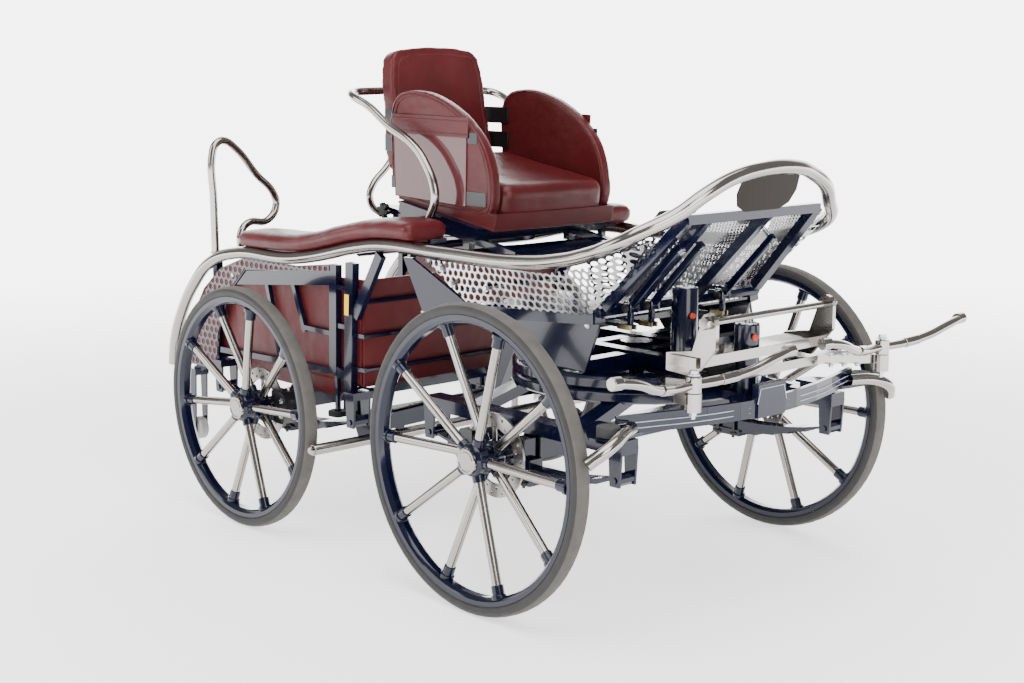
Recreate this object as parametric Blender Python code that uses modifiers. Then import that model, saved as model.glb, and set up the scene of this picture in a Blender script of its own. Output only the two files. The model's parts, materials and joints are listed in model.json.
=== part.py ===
"""A four-wheeled marathon carriage for a pair of horses, as an assembly of separate pieces.

Metres, +Z up, +X forwards, +Y to the carriage's left. Pieces are laid out from the
front axle on the ground, and all of them hang from one empty that shifts them so
that the middle of the footprint lies at the origin.
"""

import math

import bmesh
import bpy
from mathutils import Matrix, Vector

# Overall layout
ORIGIN_SHIFT = 0.57065
TRACK = 1.250
WHEELBASE = 1.060
FRONT_WHEEL_RADIUS = 0.400
REAR_WHEEL_RADIUS = 0.364
REAR_TRACK_INSET = 0.008
CLEARANCE = 0.0003
RUNNING_GAP = 0.0006

# Wheels
TYRE_WIDTH = 0.050
TYRE_DEPTH = 0.030
WHEEL_STEPS = 28
RIM_WIDTH = 0.042
RIM_DEPTH = 0.022
SPOKE_COUNT = 10
SPOKE_RADIUS = 0.013
HUB_RADIUS = 0.043
HUB_LENGTH = 0.098
HUB_CAP_RADIUS = 0.034
SPOKE_ROW_OUTER = 0.034
SPOKE_ROW_INNER = 0.076
STUB_RADIUS = 0.0185
STUB_REACH = 0.030
DISC_RADIUS = 0.110
DISC_HOLE_RADIUS = 0.074
DISC_THICKNESS = 0.006
DISC_ARMS = 5
DISC_ARM_WIDTH = 0.014

# Axles and springs
AXLE_BEAM = (0.045, 0.060)
AXLE_BEAM_END = TRACK / 2 - HUB_LENGTH - 0.057
SPRING_Y = AXLE_BEAM_END - 0.050
SPRING_WIDTH = 0.045
SPRING_HALF_LENGTH = 0.340
SPRING_RISE = 0.034
SPRING_FLAT = 0.050
LEAF_THICKNESS = 0.007
LEAF_COUNT = 5
EYE_RADIUS = 0.017
EYE_PIN_RADIUS = 0.0085
SPRING_SEAT_DROP = 0.012

# Turntable and front carriage
RING_RADIUS = 0.340
RING_BORE = 0.275
RING_THICKNESS = 0.034
UPPER_RING_BASE = 0.562
KINGPIN_RADIUS = 0.020
CARRIAGE_BEAM = (0.060, 0.036)
CARRIAGE_BEAM_Z = 0.470
DRAUGHT_POST_X = 0.383
DRAUGHT_POST_RADIUS = 0.032
DRAUGHT_POST_TOP = 0.729

# Draught gear
POLE_BAR_HALF = 0.250
POLE_BAR_Z = 0.662
POLE_EAR_Y = 0.235
POLE_PIN_X = 0.457
POLE_PIN_Z = 0.766
POLE_PIN_RADIUS = 0.009
EVENER_HALF = 0.385
EVENER_Z = 0.610
EVENER_THICKNESS = 0.024
SWINGLE_PIVOT_X = 0.534
SWINGLE_PIVOT_Y = 0.380
SWINGLE_HALF = 0.315
SWINGLE_RADIUS = 0.0115

# Body
BODY_HALF = 0.400
RAIL_RADIUS = 0.019
FRAME_TUBE = 0.030
POST_X = -0.755
POST_FOOT_Z = 0.372
REAR_END_X = -1.520
DASH_FOOT = (0.155, 0.317, 0.764)
DASH_TOP = (0.421, 0.281, 1.040)
PANEL_THICKNESS = 0.003

# Seat
SEAT_TILT = math.radians(9.0)

# Bumper
BUMPER_ROOT_X = 0.372
BUMPER_PLATE_Z = 0.508

# Frame
SILL_Y = 0.360
SILL_Z = 0.430
RAIL_REAR_Y = 0.430
RAIL_APEX = (0.469, 0.070, 1.130)
FRONT_POST = (0.219, -0.055, 0.810)
SEAT_TUBES = ((-0.790, 0.838), (-0.470, 0.846))
PAD_BAR = 0.012
PAD_MIDDLE_Y = 0.340
PAD_LINE = [
    (-1.290, 0.820),
    (-1.040, 0.826),
    (-0.900, 0.844),
    (-0.700, 0.888),
    (-0.590, 0.903),
    (-0.440, 0.905),
]
PAD_ROUTE = [(x, PAD_MIDDLE_Y, z - PAD_BAR / 2 - 0.0009) for x, z in PAD_LINE]

# Pedals
PEDAL_PIN = 0.0055
CLEVIS_PIN = 0.004
CLEVIS_PLAY = 0.0014
PEDAL_Y = {"right": -0.232, "centre": -0.153, "left": 0.128}
PEDAL_X = 0.192
PEDAL_Z = 0.772
PEDAL_TAB = 0.0135
PEDAL_REACH = 0.240
ROD_Z = PEDAL_Z - 0.050
ROD_BORE = 0.0066
ROD_RADIUS = 0.005
ROD_GUIDE_X = -0.020
PAD_STANDOFF = 0.090
PAD_STEM = 0.006
PAD_HOLE = 0.021
DASH_BARS = ((-0.300, -0.255), (-0.193, -0.180), (0.045, 0.058), (0.300, 0.255))

# Tread plate
TREAD_HALF = 0.300
TREAD_TONGUE_HALF = 0.170
TREAD_SHOULDER = 0.222
TREAD_LENGTH = 0.285

# Roller, adjuster and step
ROLLER_X = -1.617
ROLLER_Y = -0.400
ROLLER_Z = 0.175
ROLLER_PIN = 0.006
ROLLER_RADIUS = 0.0375
ADJUSTER_STEM = 0.009
ADJUSTER_Z = 0.354
ADJUSTER_RADIUS = 0.030
STEP_PLACE = (POST_X + 0.079, 0.302)
STEP_HALF_LENGTH = TRACK / 2 - 0.005
STEP_RADIUS = 0.016

# Seat places
SEAT_ORIGIN = (-0.600, 0.9152)
SLIDE_Y = 0.200
KNOB_PLACE = (-0.222, -0.212, 0.0)
PAN_TOP = 0.052

# Calipers
CALIPER_BRACKET_Y = AXLE_BEAM_END - 0.012
CALIPER_REACH = DISC_RADIUS + 0.012
CALIPER_OUTSIDE = 0.013
SPRING_REACH = SPRING_HALF_LENGTH + EYE_RADIUS * 0.6


def clear_scene():
    """Remove whatever the file holds."""
    for old in list(bpy.data.objects):
        bpy.data.objects.remove(old, do_unlink=True)


clear_scene()
PARTS = bpy.data.collections.new("marathon_carriage")
bpy.context.scene.collection.children.link(PARTS)
CUTTERS = bpy.data.collections.new("cutters")
bpy.context.scene.collection.children.link(CUTTERS)


def material(name, colour, roughness, metallic):
    """A Principled material of one colour."""
    made = bpy.data.materials.new(name)
    made.use_nodes = True
    shader = made.node_tree.nodes["Principled BSDF"]
    shader.inputs["Base Color"].default_value = (*colour, 1.0)
    shader.inputs["Roughness"].default_value = roughness
    shader.inputs["Metallic"].default_value = metallic
    made.diffuse_color = (*colour, 1.0)
    return made


NAVY = material("navy_paint", (0.012, 0.018, 0.085), 0.18, 0.0)
STEEL = material("polished_steel", (0.62, 0.60, 0.57), 0.18, 1.0)
TREAD = material("tread_plate", (0.55, 0.55, 0.54), 0.35, 1.0)
RUBBER = material("solid_rubber", (0.075, 0.073, 0.070), 0.75, 0.0)
BLACK = material("black_plastic", (0.010, 0.010, 0.012), 0.45, 0.0)
IRON = material("black_iron", (0.016, 0.016, 0.018), 0.40, 0.6)
RED = material("red_cover", (0.230, 0.022, 0.026), 0.42, 0.0)
BRASS = material("brass", (0.62, 0.47, 0.20), 0.35, 1.0)


def empty(name, place, parent=None):
    """An empty at a place in the carriage's own layout."""
    made = bpy.data.objects.new(name, None)
    PARTS.objects.link(made)
    made.parent = parent
    made.location = Vector(place) - (parent_place(parent) if parent else Vector())
    return made


def parent_place(parent):
    """Where an empty lies in the carriage's own layout."""
    place = Vector()
    while parent is not None and parent is not ROOT:
        place += parent.location
        parent = parent.parent
    return place


ROOT = bpy.data.objects.new("carriage", None)
PARTS.objects.link(ROOT)
ROOT.location = (ORIGIN_SHIFT, 0.0, 0.0)


def raw(bm):
    """A loose object made of a bmesh, for fusing or cutting."""
    bmesh.ops.recalc_face_normals(bm, faces=bm.faces)
    if bm.calc_volume(signed=True) < 0.0:
        bmesh.ops.reverse_faces(bm, faces=bm.faces)
    mesh = bpy.data.meshes.new("raw")
    bm.to_mesh(mesh)
    bm.free()
    made = bpy.data.objects.new("raw", mesh)
    CUTTERS.objects.link(made)
    made.hide_render = True
    made.display_type = "WIRE"
    return made


def block(size, centre, turn=None):
    """A box by its size and centre, turned by a rotation matrix where one is given."""
    bm = bmesh.new()
    bmesh.ops.create_cube(bm, size=1.0)
    place = Matrix.Translation(centre) @ (turn.to_4x4() if turn else Matrix())
    bm.transform(place @ Matrix.Diagonal((*size, 1.0)))
    return raw(bm)


def bar(start, end, width, height):
    """A box section that runs from one point to another, its height upright."""
    start = Vector(start)
    end = Vector(end)
    along = (end - start).normalized()
    across = Vector((0.0, 0.0, 1.0)).cross(along)
    if across.length < 1e-6:
        across = Vector((0.0, 1.0, 0.0))
    across.normalize()
    turn = Matrix((along, across, along.cross(across))).transposed()
    return block(((end - start).length, width, height), (start + end) / 2, turn)


def rod(start, end, radius, sides=12, end_radius=None):
    """A round bar from one point to another, tapered where an end radius is given."""
    start = Vector(start)
    end = Vector(end)
    bm = bmesh.new()
    bmesh.ops.create_cone(
        bm,
        cap_ends=True,
        segments=sides,
        radius1=radius,
        radius2=radius if end_radius is None else end_radius,
        depth=(end - start).length,
    )
    turn = (end - start).to_track_quat("Z", "Y").to_matrix().to_4x4()
    bm.transform(Matrix.Translation((start + end) / 2) @ turn)
    return raw(bm)


def ball(radius, centre, sides=10):
    """A ball."""
    bm = bmesh.new()
    bmesh.ops.create_uvsphere(bm, u_segments=sides, v_segments=sides // 2 + 1, radius=radius)
    bm.transform(Matrix.Translation(centre))
    return raw(bm)


def as_mesh(source):
    """The evaluated mesh of an object, welded and facing out, as a loose object."""
    bpy.context.view_layer.update()
    graph = bpy.context.evaluated_depsgraph_get()
    mesh = bpy.data.meshes.new_from_object(source.evaluated_get(graph))
    bm = bmesh.new()
    bm.from_mesh(mesh)
    bm.transform(source.matrix_world)
    bmesh.ops.remove_doubles(bm, verts=bm.verts, dist=1e-5)
    bpy.data.objects.remove(source, do_unlink=True)
    return raw(bm)


def pipe(points, radius, closed=False, resolution=2):
    """A round tube along points, as a bevelled curve with filled caps."""
    curve = bpy.data.curves.new("pipe", "CURVE")
    curve.dimensions = "3D"
    curve.bevel_depth = radius
    curve.bevel_resolution = resolution
    curve.use_fill_caps = not closed
    spline = curve.splines.new("POLY")
    spline.points.add(len(points) - 1)
    for knot, point in zip(spline.points, points):
        knot.co = (*point, 1.0)
    spline.use_cyclic_u = closed
    made = bpy.data.objects.new("pipe", curve)
    CUTTERS.objects.link(made)
    return as_mesh(made)


def smooth(points, per_span, closed=False):
    """Points of a smooth curve through the given points."""
    knots = [Vector(point) for point in points]
    count = len(knots)
    spans = count if closed else count - 1
    route = []
    for index in range(spans):
        before = knots[(index - 1) % count] if closed or index else knots[0] * 2 - knots[1]
        here = knots[index]
        there = knots[(index + 1) % count]
        last = closed or index + 2 < count
        after = knots[(index + 2) % count] if last else there * 2 - here
        for step in range(per_span):
            t = step / per_span
            route.append(
                0.5
                * (
                    2 * here
                    + (there - before) * t
                    + (2 * before - 5 * here + 4 * there - after) * t * t
                    + (3 * here - before - 3 * there + after) * t * t * t
                )
            )
    if not closed:
        route.append(knots[-1])
    return route


def plate(outline, thickness, frame):
    """A flat outline of two-number points, extruded, and placed by a matrix whose
    columns are the outline's two axes and its normal, with its origin."""
    curve = bpy.data.curves.new("plate", "CURVE")
    curve.dimensions = "2D"
    curve.fill_mode = "BOTH"
    curve.extrude = thickness / 2
    spline = curve.splines.new("POLY")
    spline.points.add(len(outline) - 1)
    for knot, (u, v) in zip(spline.points, outline):
        knot.co = (u, v, 0.0, 1.0)
    spline.use_cyclic_u = True
    made = bpy.data.objects.new("plate", curve)
    CUTTERS.objects.link(made)
    made.matrix_world = frame
    return as_mesh(made)


def frame_of(origin, u_axis, v_axis):
    """A placing matrix from an origin and two axes, which are squared up."""
    u = Vector(u_axis).normalized()
    w = u.cross(Vector(v_axis)).normalized()
    v = w.cross(u)
    return Matrix.Translation(origin) @ Matrix((u, v, w)).transposed().to_4x4()


def side_plate(outline, thickness, y):
    """A plate in the XZ plane at one Y."""
    return plate(outline, thickness, frame_of((0.0, y, 0.0), (1, 0, 0), (0, 0, 1)))


def lathe(profile, steps, axis, centre):
    """A turned body: a closed profile of radius and height pairs about an axis."""
    bm = bmesh.new()
    ring = [bm.verts.new((radius, 0.0, height)) for radius, height in profile]
    for first, second in zip(ring, ring[1:] + ring[:1]):
        bm.edges.new((first, second))
    mesh = bpy.data.meshes.new("profile")
    bm.to_mesh(mesh)
    bm.free()
    made = bpy.data.objects.new("profile", mesh)
    CUTTERS.objects.link(made)
    turned = made.modifiers.new("turn", "SCREW")
    turned.steps = steps
    turned.render_steps = steps
    turned.use_merge_vertices = True
    turned.merge_threshold = 0.0001
    made.matrix_world = (
        Matrix.Translation(centre) @ Vector(axis).to_track_quat("Z", "X").to_matrix().to_4x4()
    )
    return as_mesh(made)


def boolean(target, others, operation):
    """Join or cut one loose object with others, which are used up."""
    for other in others:
        change = target.modifiers.new(operation, "BOOLEAN")
        change.operation = operation
        change.object = other
        change.solver = "EXACT"
    joined = as_mesh(target)
    for other in others:
        bpy.data.objects.remove(other, do_unlink=True)
    return joined


def piece(name, shapes, finish, parent=None, cuts=(), pivot=None):
    """One named sub-part: loose shapes joined into one body, cut, finished and parented."""
    made = shapes[0]
    if len(shapes) > 1:
        made = boolean(made, shapes[1:], "UNION")
    if cuts:
        made = boolean(made, list(cuts), "DIFFERENCE")
    CUTTERS.objects.unlink(made)
    PARTS.objects.link(made)
    made.hide_render = False
    made.display_type = "TEXTURED"
    made.name = name
    made.data.name = name
    made.data.materials.clear()
    made.data.materials.append(finish)
    parent = parent or ROOT
    origin = Vector(pivot) if pivot is not None else parent_place(parent)
    made.data.transform(Matrix.Translation(-origin))
    made.data.shade_smooth()
    made.data.set_sharp_from_angle(angle=math.radians(35.0))
    made.parent = parent
    made.location = origin - parent_place(parent)
    return made


def sides():
    """The two sides of the carriage, as a name and the sign of Y."""
    return (("right", -1), ("left", 1))


def arc(radius, start, end, count, centre=(0.0, 0.0)):
    """Points on an arc, in degrees."""
    return [
        (
            centre[0] + radius * math.cos(math.radians(start + (end - start) * i / count)),
            centre[1] + radius * math.sin(math.radians(start + (end - start) * i / count)),
        )
        for i in range(count + 1)
    ]


# Wheels


def wheel_parts(end, side_name, side, radius, x, half_track, turn):
    """The pieces of one wheel, about its own hub, and the empty that they turn on."""
    face = half_track * side
    inward = -side
    name = f"{end}_{side_name}"
    hub = empty(f"wheel_axis_{name}", (x, face, radius), AXLE_PARENTS[end])
    centre_y = face + inward * TYRE_WIDTH / 2
    axis = (0, 1, 0)

    def at(depth):
        return face + inward * depth

    half = TYRE_WIDTH / 2
    seat = radius - TYRE_DEPTH
    tyre = [
        (seat, -half * 0.92),
        (radius - 0.010, -half),
        (radius, -half * 0.40),
        (radius, half * 0.40),
        (radius - 0.010, half),
        (seat, half * 0.92),
    ]
    piece(
        f"tyre_{name}",
        [lathe(tyre, WHEEL_STEPS, axis, (x, centre_y, radius))],
        RUBBER,
        hub,
    )

    rim_top = seat - CLEARANCE
    rim_floor = rim_top - RIM_DEPTH
    rim_half = RIM_WIDTH / 2
    rim = [
        (rim_floor, -rim_half),
        (rim_top, -rim_half),
        (rim_top, rim_half),
        (rim_floor, rim_half),
    ]
    shapes = [lathe(rim, WHEEL_STEPS, axis, (x, centre_y, radius))]
    barrel = [
        (STUB_RADIUS + RUNNING_GAP, at(STUB_REACH - RUNNING_GAP * 2) * side),
        (0.0001, at(STUB_REACH - RUNNING_GAP * 2) * side),
        (0.0001, at(0.002) * side),
        (HUB_CAP_RADIUS, at(0.002) * side),
        (HUB_CAP_RADIUS, at(0.008) * side),
        (HUB_RADIUS, at(0.014) * side),
        (HUB_RADIUS, at(HUB_LENGTH) * side),
        (STUB_RADIUS + RUNNING_GAP, at(HUB_LENGTH) * side),
    ]
    bm_barrel = lathe(
        [(r, h) for r, h in reversed(barrel)], 14, (0, side, 0), (x, 0.0, radius)
    )
    shapes.append(bm_barrel)
    for index in range(SPOKE_COUNT):
        angle = math.radians(turn + 360.0 * index / SPOKE_COUNT)
        row = SPOKE_ROW_OUTER if index % 2 == 0 else SPOKE_ROW_INNER
        tip_y = centre_y + (side if index % 2 == 0 else -side) * 0.006
        ray = Vector((math.cos(angle), 0.0, math.sin(angle)))
        root_point = Vector((x, at(row), radius)) + ray * (HUB_RADIUS - 0.012)
        tip_point = Vector((x, tip_y, radius)) + ray * (rim_floor + 0.012)
        shapes.append(rod(root_point, tip_point, SPOKE_RADIUS, 6))
    piece(f"wheel_{name}", shapes, STEEL, hub)

    disc_y = at(HUB_LENGTH + CLEARANCE + DISC_THICKNESS / 2)
    ring = [
        (DISC_HOLE_RADIUS, -DISC_THICKNESS / 2),
        (DISC_RADIUS, -DISC_THICKNESS / 2),
        (DISC_RADIUS, DISC_THICKNESS / 2),
        (DISC_HOLE_RADIUS, DISC_THICKNESS / 2),
    ]
    disc = [lathe(ring, 20, axis, (x, disc_y, radius))]
    boss = [
        (STUB_RADIUS + RUNNING_GAP, -DISC_THICKNESS / 2),
        (HUB_RADIUS * 0.86, -DISC_THICKNESS / 2),
        (HUB_RADIUS * 0.86, DISC_THICKNESS / 2),
        (STUB_RADIUS + RUNNING_GAP, DISC_THICKNESS / 2),
    ]
    disc.append(lathe(boss, 14, axis, (x, disc_y, radius)))
    for index in range(DISC_ARMS):
        angle = math.radians(90 + 360.0 * index / DISC_ARMS)
        ray = Vector((math.cos(angle), 0.0, math.sin(angle)))
        centre = Vector((x, disc_y, radius))
        inner = centre + ray * (HUB_RADIUS * 0.86 - 0.006)
        outer = centre + ray * (DISC_HOLE_RADIUS + 0.006)
        arm = bar(inner, outer, DISC_THICKNESS * 0.6, DISC_ARM_WIDTH)
        disc.append(arm)
    piece(f"brake_disc_{name}", disc, STEEL, hub)
    return hub


STEERING = empty("steering_axis", (0.0, 0.0, UPPER_RING_BASE), ROOT)
AXLE_PARENTS = {"front": STEERING, "rear": ROOT}
WHEEL_SETS = (
    ("front", FRONT_WHEEL_RADIUS, 0.0, TRACK / 2, 0.0),
    ("rear", REAR_WHEEL_RADIUS, -WHEELBASE, TRACK / 2 - REAR_TRACK_INSET, 5.0),
)
for wheel_end, wheel_radius, wheel_x, wheel_face, wheel_turn in WHEEL_SETS:
    for wheel_side, wheel_sign in sides():
        wheel_parts(
            wheel_end, wheel_side, wheel_sign, wheel_radius, wheel_x, wheel_face, wheel_turn
        )


# Axles, springs and calipers


def axle(end, x, radius, half_track, parent, caliper_side):
    """An axle beam with its stubs, spring seats and caliper brackets."""
    beam_width, beam_height = AXLE_BEAM
    shapes = [
        bar((x, -AXLE_BEAM_END, radius), (x, AXLE_BEAM_END, radius), beam_width, beam_height)
    ]
    for _, sign in sides():
        stub_end = sign * (half_track - STUB_REACH)
        shapes.append(
            rod((x, sign * (AXLE_BEAM_END - 0.03), radius), (x, stub_end, radius), STUB_RADIUS, 14)
        )
        seat_z = radius - beam_height / 2 - SPRING_SEAT_DROP / 2
        seat = (0.090, SPRING_WIDTH, SPRING_SEAT_DROP + 0.010)
        shapes.append(block(seat, (x, sign * SPRING_Y, seat_z + 0.005)))
        arm_start = (x, sign * CALIPER_BRACKET_Y, radius + 0.004)
        arm_end = (x + caliper_side * CALIPER_REACH, sign * CALIPER_BRACKET_Y, radius + 0.004)
        shapes.append(bar(arm_start, arm_end, 0.010, 0.052))
    piece(f"{end}_axle", shapes, NAVY, parent)


def caliper(end, side_name, sign, x, radius, half_track, parent, caliper_side):
    """A brake caliper that straddles the disc, bolted to the outer face of its bracket."""
    disc_y = sign * (half_track - HUB_LENGTH - CLEARANCE - DISC_THICKNESS / 2)
    inner_y = sign * (CALIPER_BRACKET_Y + 0.005 + CLEARANCE)
    outer_y = disc_y + sign * CALIPER_OUTSIDE
    centre_x = x + caliper_side * (DISC_RADIUS - 0.006)
    outline = [
        (-0.030, -0.048),
        (0.016, -0.048),
        (0.034, -0.026),
        (0.034, 0.026),
        (0.016, 0.048),
        (-0.030, 0.048),
    ]
    flat = frame_of(
        (centre_x, (inner_y + outer_y) / 2, radius + 0.004), (caliper_side, 0, 0), (0, 0, 1)
    )
    body = plate(outline, abs(outer_y - inner_y), flat)
    slot = lathe(
        [
            (0.020, -DISC_THICKNESS / 2 - 0.002),
            (DISC_RADIUS + 0.004, -DISC_THICKNESS / 2 - 0.002),
            (DISC_RADIUS + 0.004, DISC_THICKNESS / 2 + 0.002),
            (0.020, DISC_THICKNESS / 2 + 0.002),
        ],
        32,
        (0, 1, 0),
        (x, disc_y, radius),
    )
    piece(f"brake_caliper_{end}_{side_name}", [body], BLACK, parent, cuts=[slot])


def leaf_spring(end, side_name, sign, x, radius, parent):
    """A pack of leaves under the axle with an eye at each end and a clamp plate below."""
    top_z = radius - AXLE_BEAM[1] / 2 - SPRING_SEAT_DROP - CLEARANCE
    y = sign * SPRING_Y

    def rise(u):
        beyond = max(abs(u) - SPRING_FLAT, 0.0) / (SPRING_HALF_LENGTH - SPRING_FLAT)
        return SPRING_RISE * beyond**2

    step = (SPRING_HALF_LENGTH - SPRING_FLAT) / 4
    right = [SPRING_FLAT + step * i for i in range(5)]
    along = [-u for u in reversed(right)] + right
    top = [(x + u, top_z + rise(u)) for u in along]
    under = []
    for leaf in range(LEAF_COUNT):
        reach = SPRING_HALF_LENGTH * (1.0 - 0.17 * leaf)
        drop = LEAF_THICKNESS * (leaf + 1)
        if leaf:
            under.append((x + reach, top_z + rise(reach) - drop + LEAF_THICKNESS))
        under.append((x + reach, top_z + rise(reach) - drop))
    left = [(2 * x - u, v) for u, v in reversed(under)]
    outline = top + under + left
    shapes = [side_plate(outline, SPRING_WIDTH, y)]
    eye_z = top_z + SPRING_RISE - LEAF_THICKNESS / 2
    for way in (-1, 1):
        eye_x = x + way * (SPRING_HALF_LENGTH + EYE_RADIUS * 0.6)
        shapes.append(
            rod(
                (eye_x, y - SPRING_WIDTH / 2 - 0.001, eye_z),
                (eye_x, y + SPRING_WIDTH / 2 + 0.001, eye_z),
                EYE_RADIUS,
                10,
            )
        )
    clamp_z = top_z - LEAF_THICKNESS * LEAF_COUNT - 0.002
    shapes.append(block((0.100, SPRING_WIDTH + 0.014, 0.018), (x, y, clamp_z)))
    bores = [
        rod(
            (x + way * (SPRING_HALF_LENGTH + EYE_RADIUS * 0.6), y - SPRING_WIDTH, eye_z),
            (x + way * (SPRING_HALF_LENGTH + EYE_RADIUS * 0.6), y + SPRING_WIDTH, eye_z),
            EYE_PIN_RADIUS + RUNNING_GAP,
            8,
        )
        for way in (-1, 1)
    ]
    piece(f"leaf_spring_{end}_{side_name}", shapes, IRON, parent, cuts=bores)


def spring_hangers(x, radius, top_z):
    """Fork plates and pins that carry the spring eyes of one axle, up to a frame."""
    shapes = []
    eye_z = (
        radius - AXLE_BEAM[1] / 2 - SPRING_SEAT_DROP - CLEARANCE + SPRING_RISE - LEAF_THICKNESS / 2
    )
    for _, sign in sides():
        for way in (-1, 1):
            eye_x = x + way * (SPRING_HALF_LENGTH + EYE_RADIUS * 0.6)
            for edge in (-1, 1):
                plate_y = sign * SPRING_Y + edge * (SPRING_WIDTH / 2 + 0.001 + 0.0035 + CLEARANCE)
                outline = [
                    (eye_x - 0.016, eye_z - 0.016),
                    (eye_x + 0.016, eye_z - 0.016),
                    (eye_x + 0.022, top_z),
                    (eye_x - 0.022, top_z),
                ]
                shapes.append(side_plate(outline, 0.007, plate_y))
            shapes.append(
                rod(
                    (eye_x, sign * SPRING_Y - SPRING_WIDTH / 2 - 0.012, eye_z),
                    (eye_x, sign * SPRING_Y + SPRING_WIDTH / 2 + 0.012, eye_z),
                    EYE_PIN_RADIUS,
                    8,
                )
            )
    return shapes


AXLES = (
    ("front", 0.0, FRONT_WHEEL_RADIUS, TRACK / 2, STEERING, -1),
    ("rear", -WHEELBASE, REAR_WHEEL_RADIUS, TRACK / 2 - REAR_TRACK_INSET, ROOT, 1),
)
for axle_end, axle_x, hub_z, face_y, carrier, caliper_way in AXLES:
    axle(axle_end, axle_x, hub_z, face_y, carrier, caliper_way)
    for axle_side, axle_sign in sides():
        caliper(axle_end, axle_side, axle_sign, axle_x, hub_z, face_y, carrier, caliper_way)
        leaf_spring(axle_end, axle_side, axle_sign, axle_x, hub_z, carrier)


# Turntable and front carriage


def ring_of(radius, bore, thickness, base_z):
    """A flat turntable ring."""
    profile = [
        (bore, 0.0),
        (radius - 0.006, 0.0),
        (radius, 0.006),
        (radius, thickness - 0.006),
        (radius - 0.006, thickness),
        (bore, thickness),
    ]
    return lathe(profile, 28, (0, 0, 1), (0.0, 0.0, base_z))


def upper_ring():
    """The body's ring with its cross arms and the bored centre boss."""
    base = UPPER_RING_BASE
    middle = base + RING_THICKNESS / 2
    arm = RING_THICKNESS - 0.010
    shapes = [ring_of(RING_RADIUS, RING_BORE, RING_THICKNESS, base)]
    shapes.append(bar((-RING_BORE - 0.02, 0, middle), (RING_BORE + 0.02, 0, middle), 0.090, arm))
    shapes.append(bar((0, -RING_BORE - 0.02, middle), (0, RING_BORE + 0.02, middle), 0.070, arm))
    shapes.append(rod((0, 0, base + 0.002), (0, 0, base + 0.075), 0.045, 14))
    bore = rod(
        (0, 0, base - 0.02), (0, 0, base + 0.058), KINGPIN_RADIUS + RUNNING_GAP, 14
    )
    return shapes, bore


def front_carriage():
    """The ring that steers, with its frame, spring hangers, kingpin and draught post."""
    top = UPPER_RING_BASE - CLEARANCE * 2
    base = top - RING_THICKNESS
    middle = base + RING_THICKNESS / 2
    arm = RING_THICKNESS - 0.010
    beam_width, beam_height = CARRIAGE_BEAM
    reach = SPRING_HALF_LENGTH + EYE_RADIUS * 0.6
    shapes = [ring_of(RING_RADIUS, RING_BORE, RING_THICKNESS, base)]
    shapes.append(bar((-RING_BORE - 0.02, 0, middle), (RING_BORE + 0.02, 0, middle), 0.080, arm))
    shapes.append(bar((0, -RING_BORE - 0.02, middle), (0, RING_BORE + 0.02, middle), 0.060, arm))
    shapes.append(rod((0, 0, base + 0.004), (0, 0, top + 0.054), KINGPIN_RADIUS, 14))
    for _, sign in sides():
        y = sign * SPRING_Y
        beam_start = (-reach - 0.022, y, CARRIAGE_BEAM_Z)
        beam_end = (BUMPER_ROOT_X - CLEARANCE, y, CARRIAGE_BEAM_Z)
        beam_top = CARRIAGE_BEAM_Z + CARRIAGE_BEAM[1] / 2 - 0.001
        pad_top = BUMPER_PLATE_Z - 0.004 - CLEARANCE
        pad_size = (0.090, 0.040, pad_top - beam_top)
        shapes.append(block(pad_size, (0.300, sign * SPRING_Y, (pad_top + beam_top) / 2)))
        shapes.append(bar(beam_start, beam_end, beam_width, beam_height))
        for x in (-0.190, 0.190):
            outer = (x, y, CARRIAGE_BEAM_Z + 0.004)
            inner = (x * 0.9, sign * (RING_BORE - 0.060), base + 0.010)
            shapes.append(bar(outer, inner, 0.050, 0.030))
    for x in (-0.190, 0.190):
        cross = base + 0.010
        shapes.append(
            bar((x * 0.9, -RING_BORE + 0.05, cross), (x * 0.9, RING_BORE - 0.05, cross), 0.050, 0.034)
        )
    tongue = (RING_RADIUS - 0.06, DRAUGHT_POST_X + DRAUGHT_POST_RADIUS)
    shapes.append(bar((tongue[0], 0, middle), (tongue[1], 0, middle), 0.080, arm))
    shapes.append(
        rod(
            (DRAUGHT_POST_X, 0, base + 0.002),
            (DRAUGHT_POST_X, 0, DRAUGHT_POST_TOP),
            DRAUGHT_POST_RADIUS,
            20,
        )
    )
    shapes += spring_hangers(0.0, FRONT_WHEEL_RADIUS, CARRIAGE_BEAM_Z)
    piece("front_carriage", shapes, NAVY, STEERING)


front_carriage()


# Bumper and draught gear


def bumper():
    """The painted bow with its raised middle, the two tube ends and the buffers."""
    bow = smooth(
        [
            (0.372, -0.470, 0.532),
            (0.392, -0.400, 0.532),
            (0.438, -0.220, 0.530),
            (0.462, 0.000, 0.528),
            (0.438, 0.220, 0.530),
            (0.392, 0.400, 0.532),
            (0.372, 0.470, 0.532),
        ],
        2,
    )
    shapes = [
        bar(first, second, 0.012, 0.046) for first, second in zip(bow, bow[1:])
    ]
    shapes.append(block((0.020, 0.110, 0.086), (0.460, 0.0, 0.546)))
    for _, sign in sides():
        arm = [
            (BUMPER_ROOT_X - 0.130, sign * 0.395),
            (0.395, sign * 0.395),
            (0.415, sign * 0.545),
            (0.355, sign * 0.545),
            (BUMPER_ROOT_X - 0.130, sign * 0.450),
        ]
        shapes.append(plate(arm, 0.008, frame_of((0, 0, BUMPER_PLATE_Z), (1, 0, 0), (0, 1, 0))))
        tube = smooth(
            [
                (0.395, sign * 0.440, 0.526),
                (0.424, sign * 0.500, 0.524),
                (0.436, sign * 0.560, 0.502),
                (0.412, sign * 0.608, 0.466),
            ],
            3,
        )
        shapes.append(pipe(tube, 0.016, resolution=1))
        shapes.append(
            rod((0.380, sign * 0.505, 0.509), (0.380, sign * 0.505, 0.538), 0.028, 16)
        )
    piece("bumper_bow", shapes, NAVY, STEERING)


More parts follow.
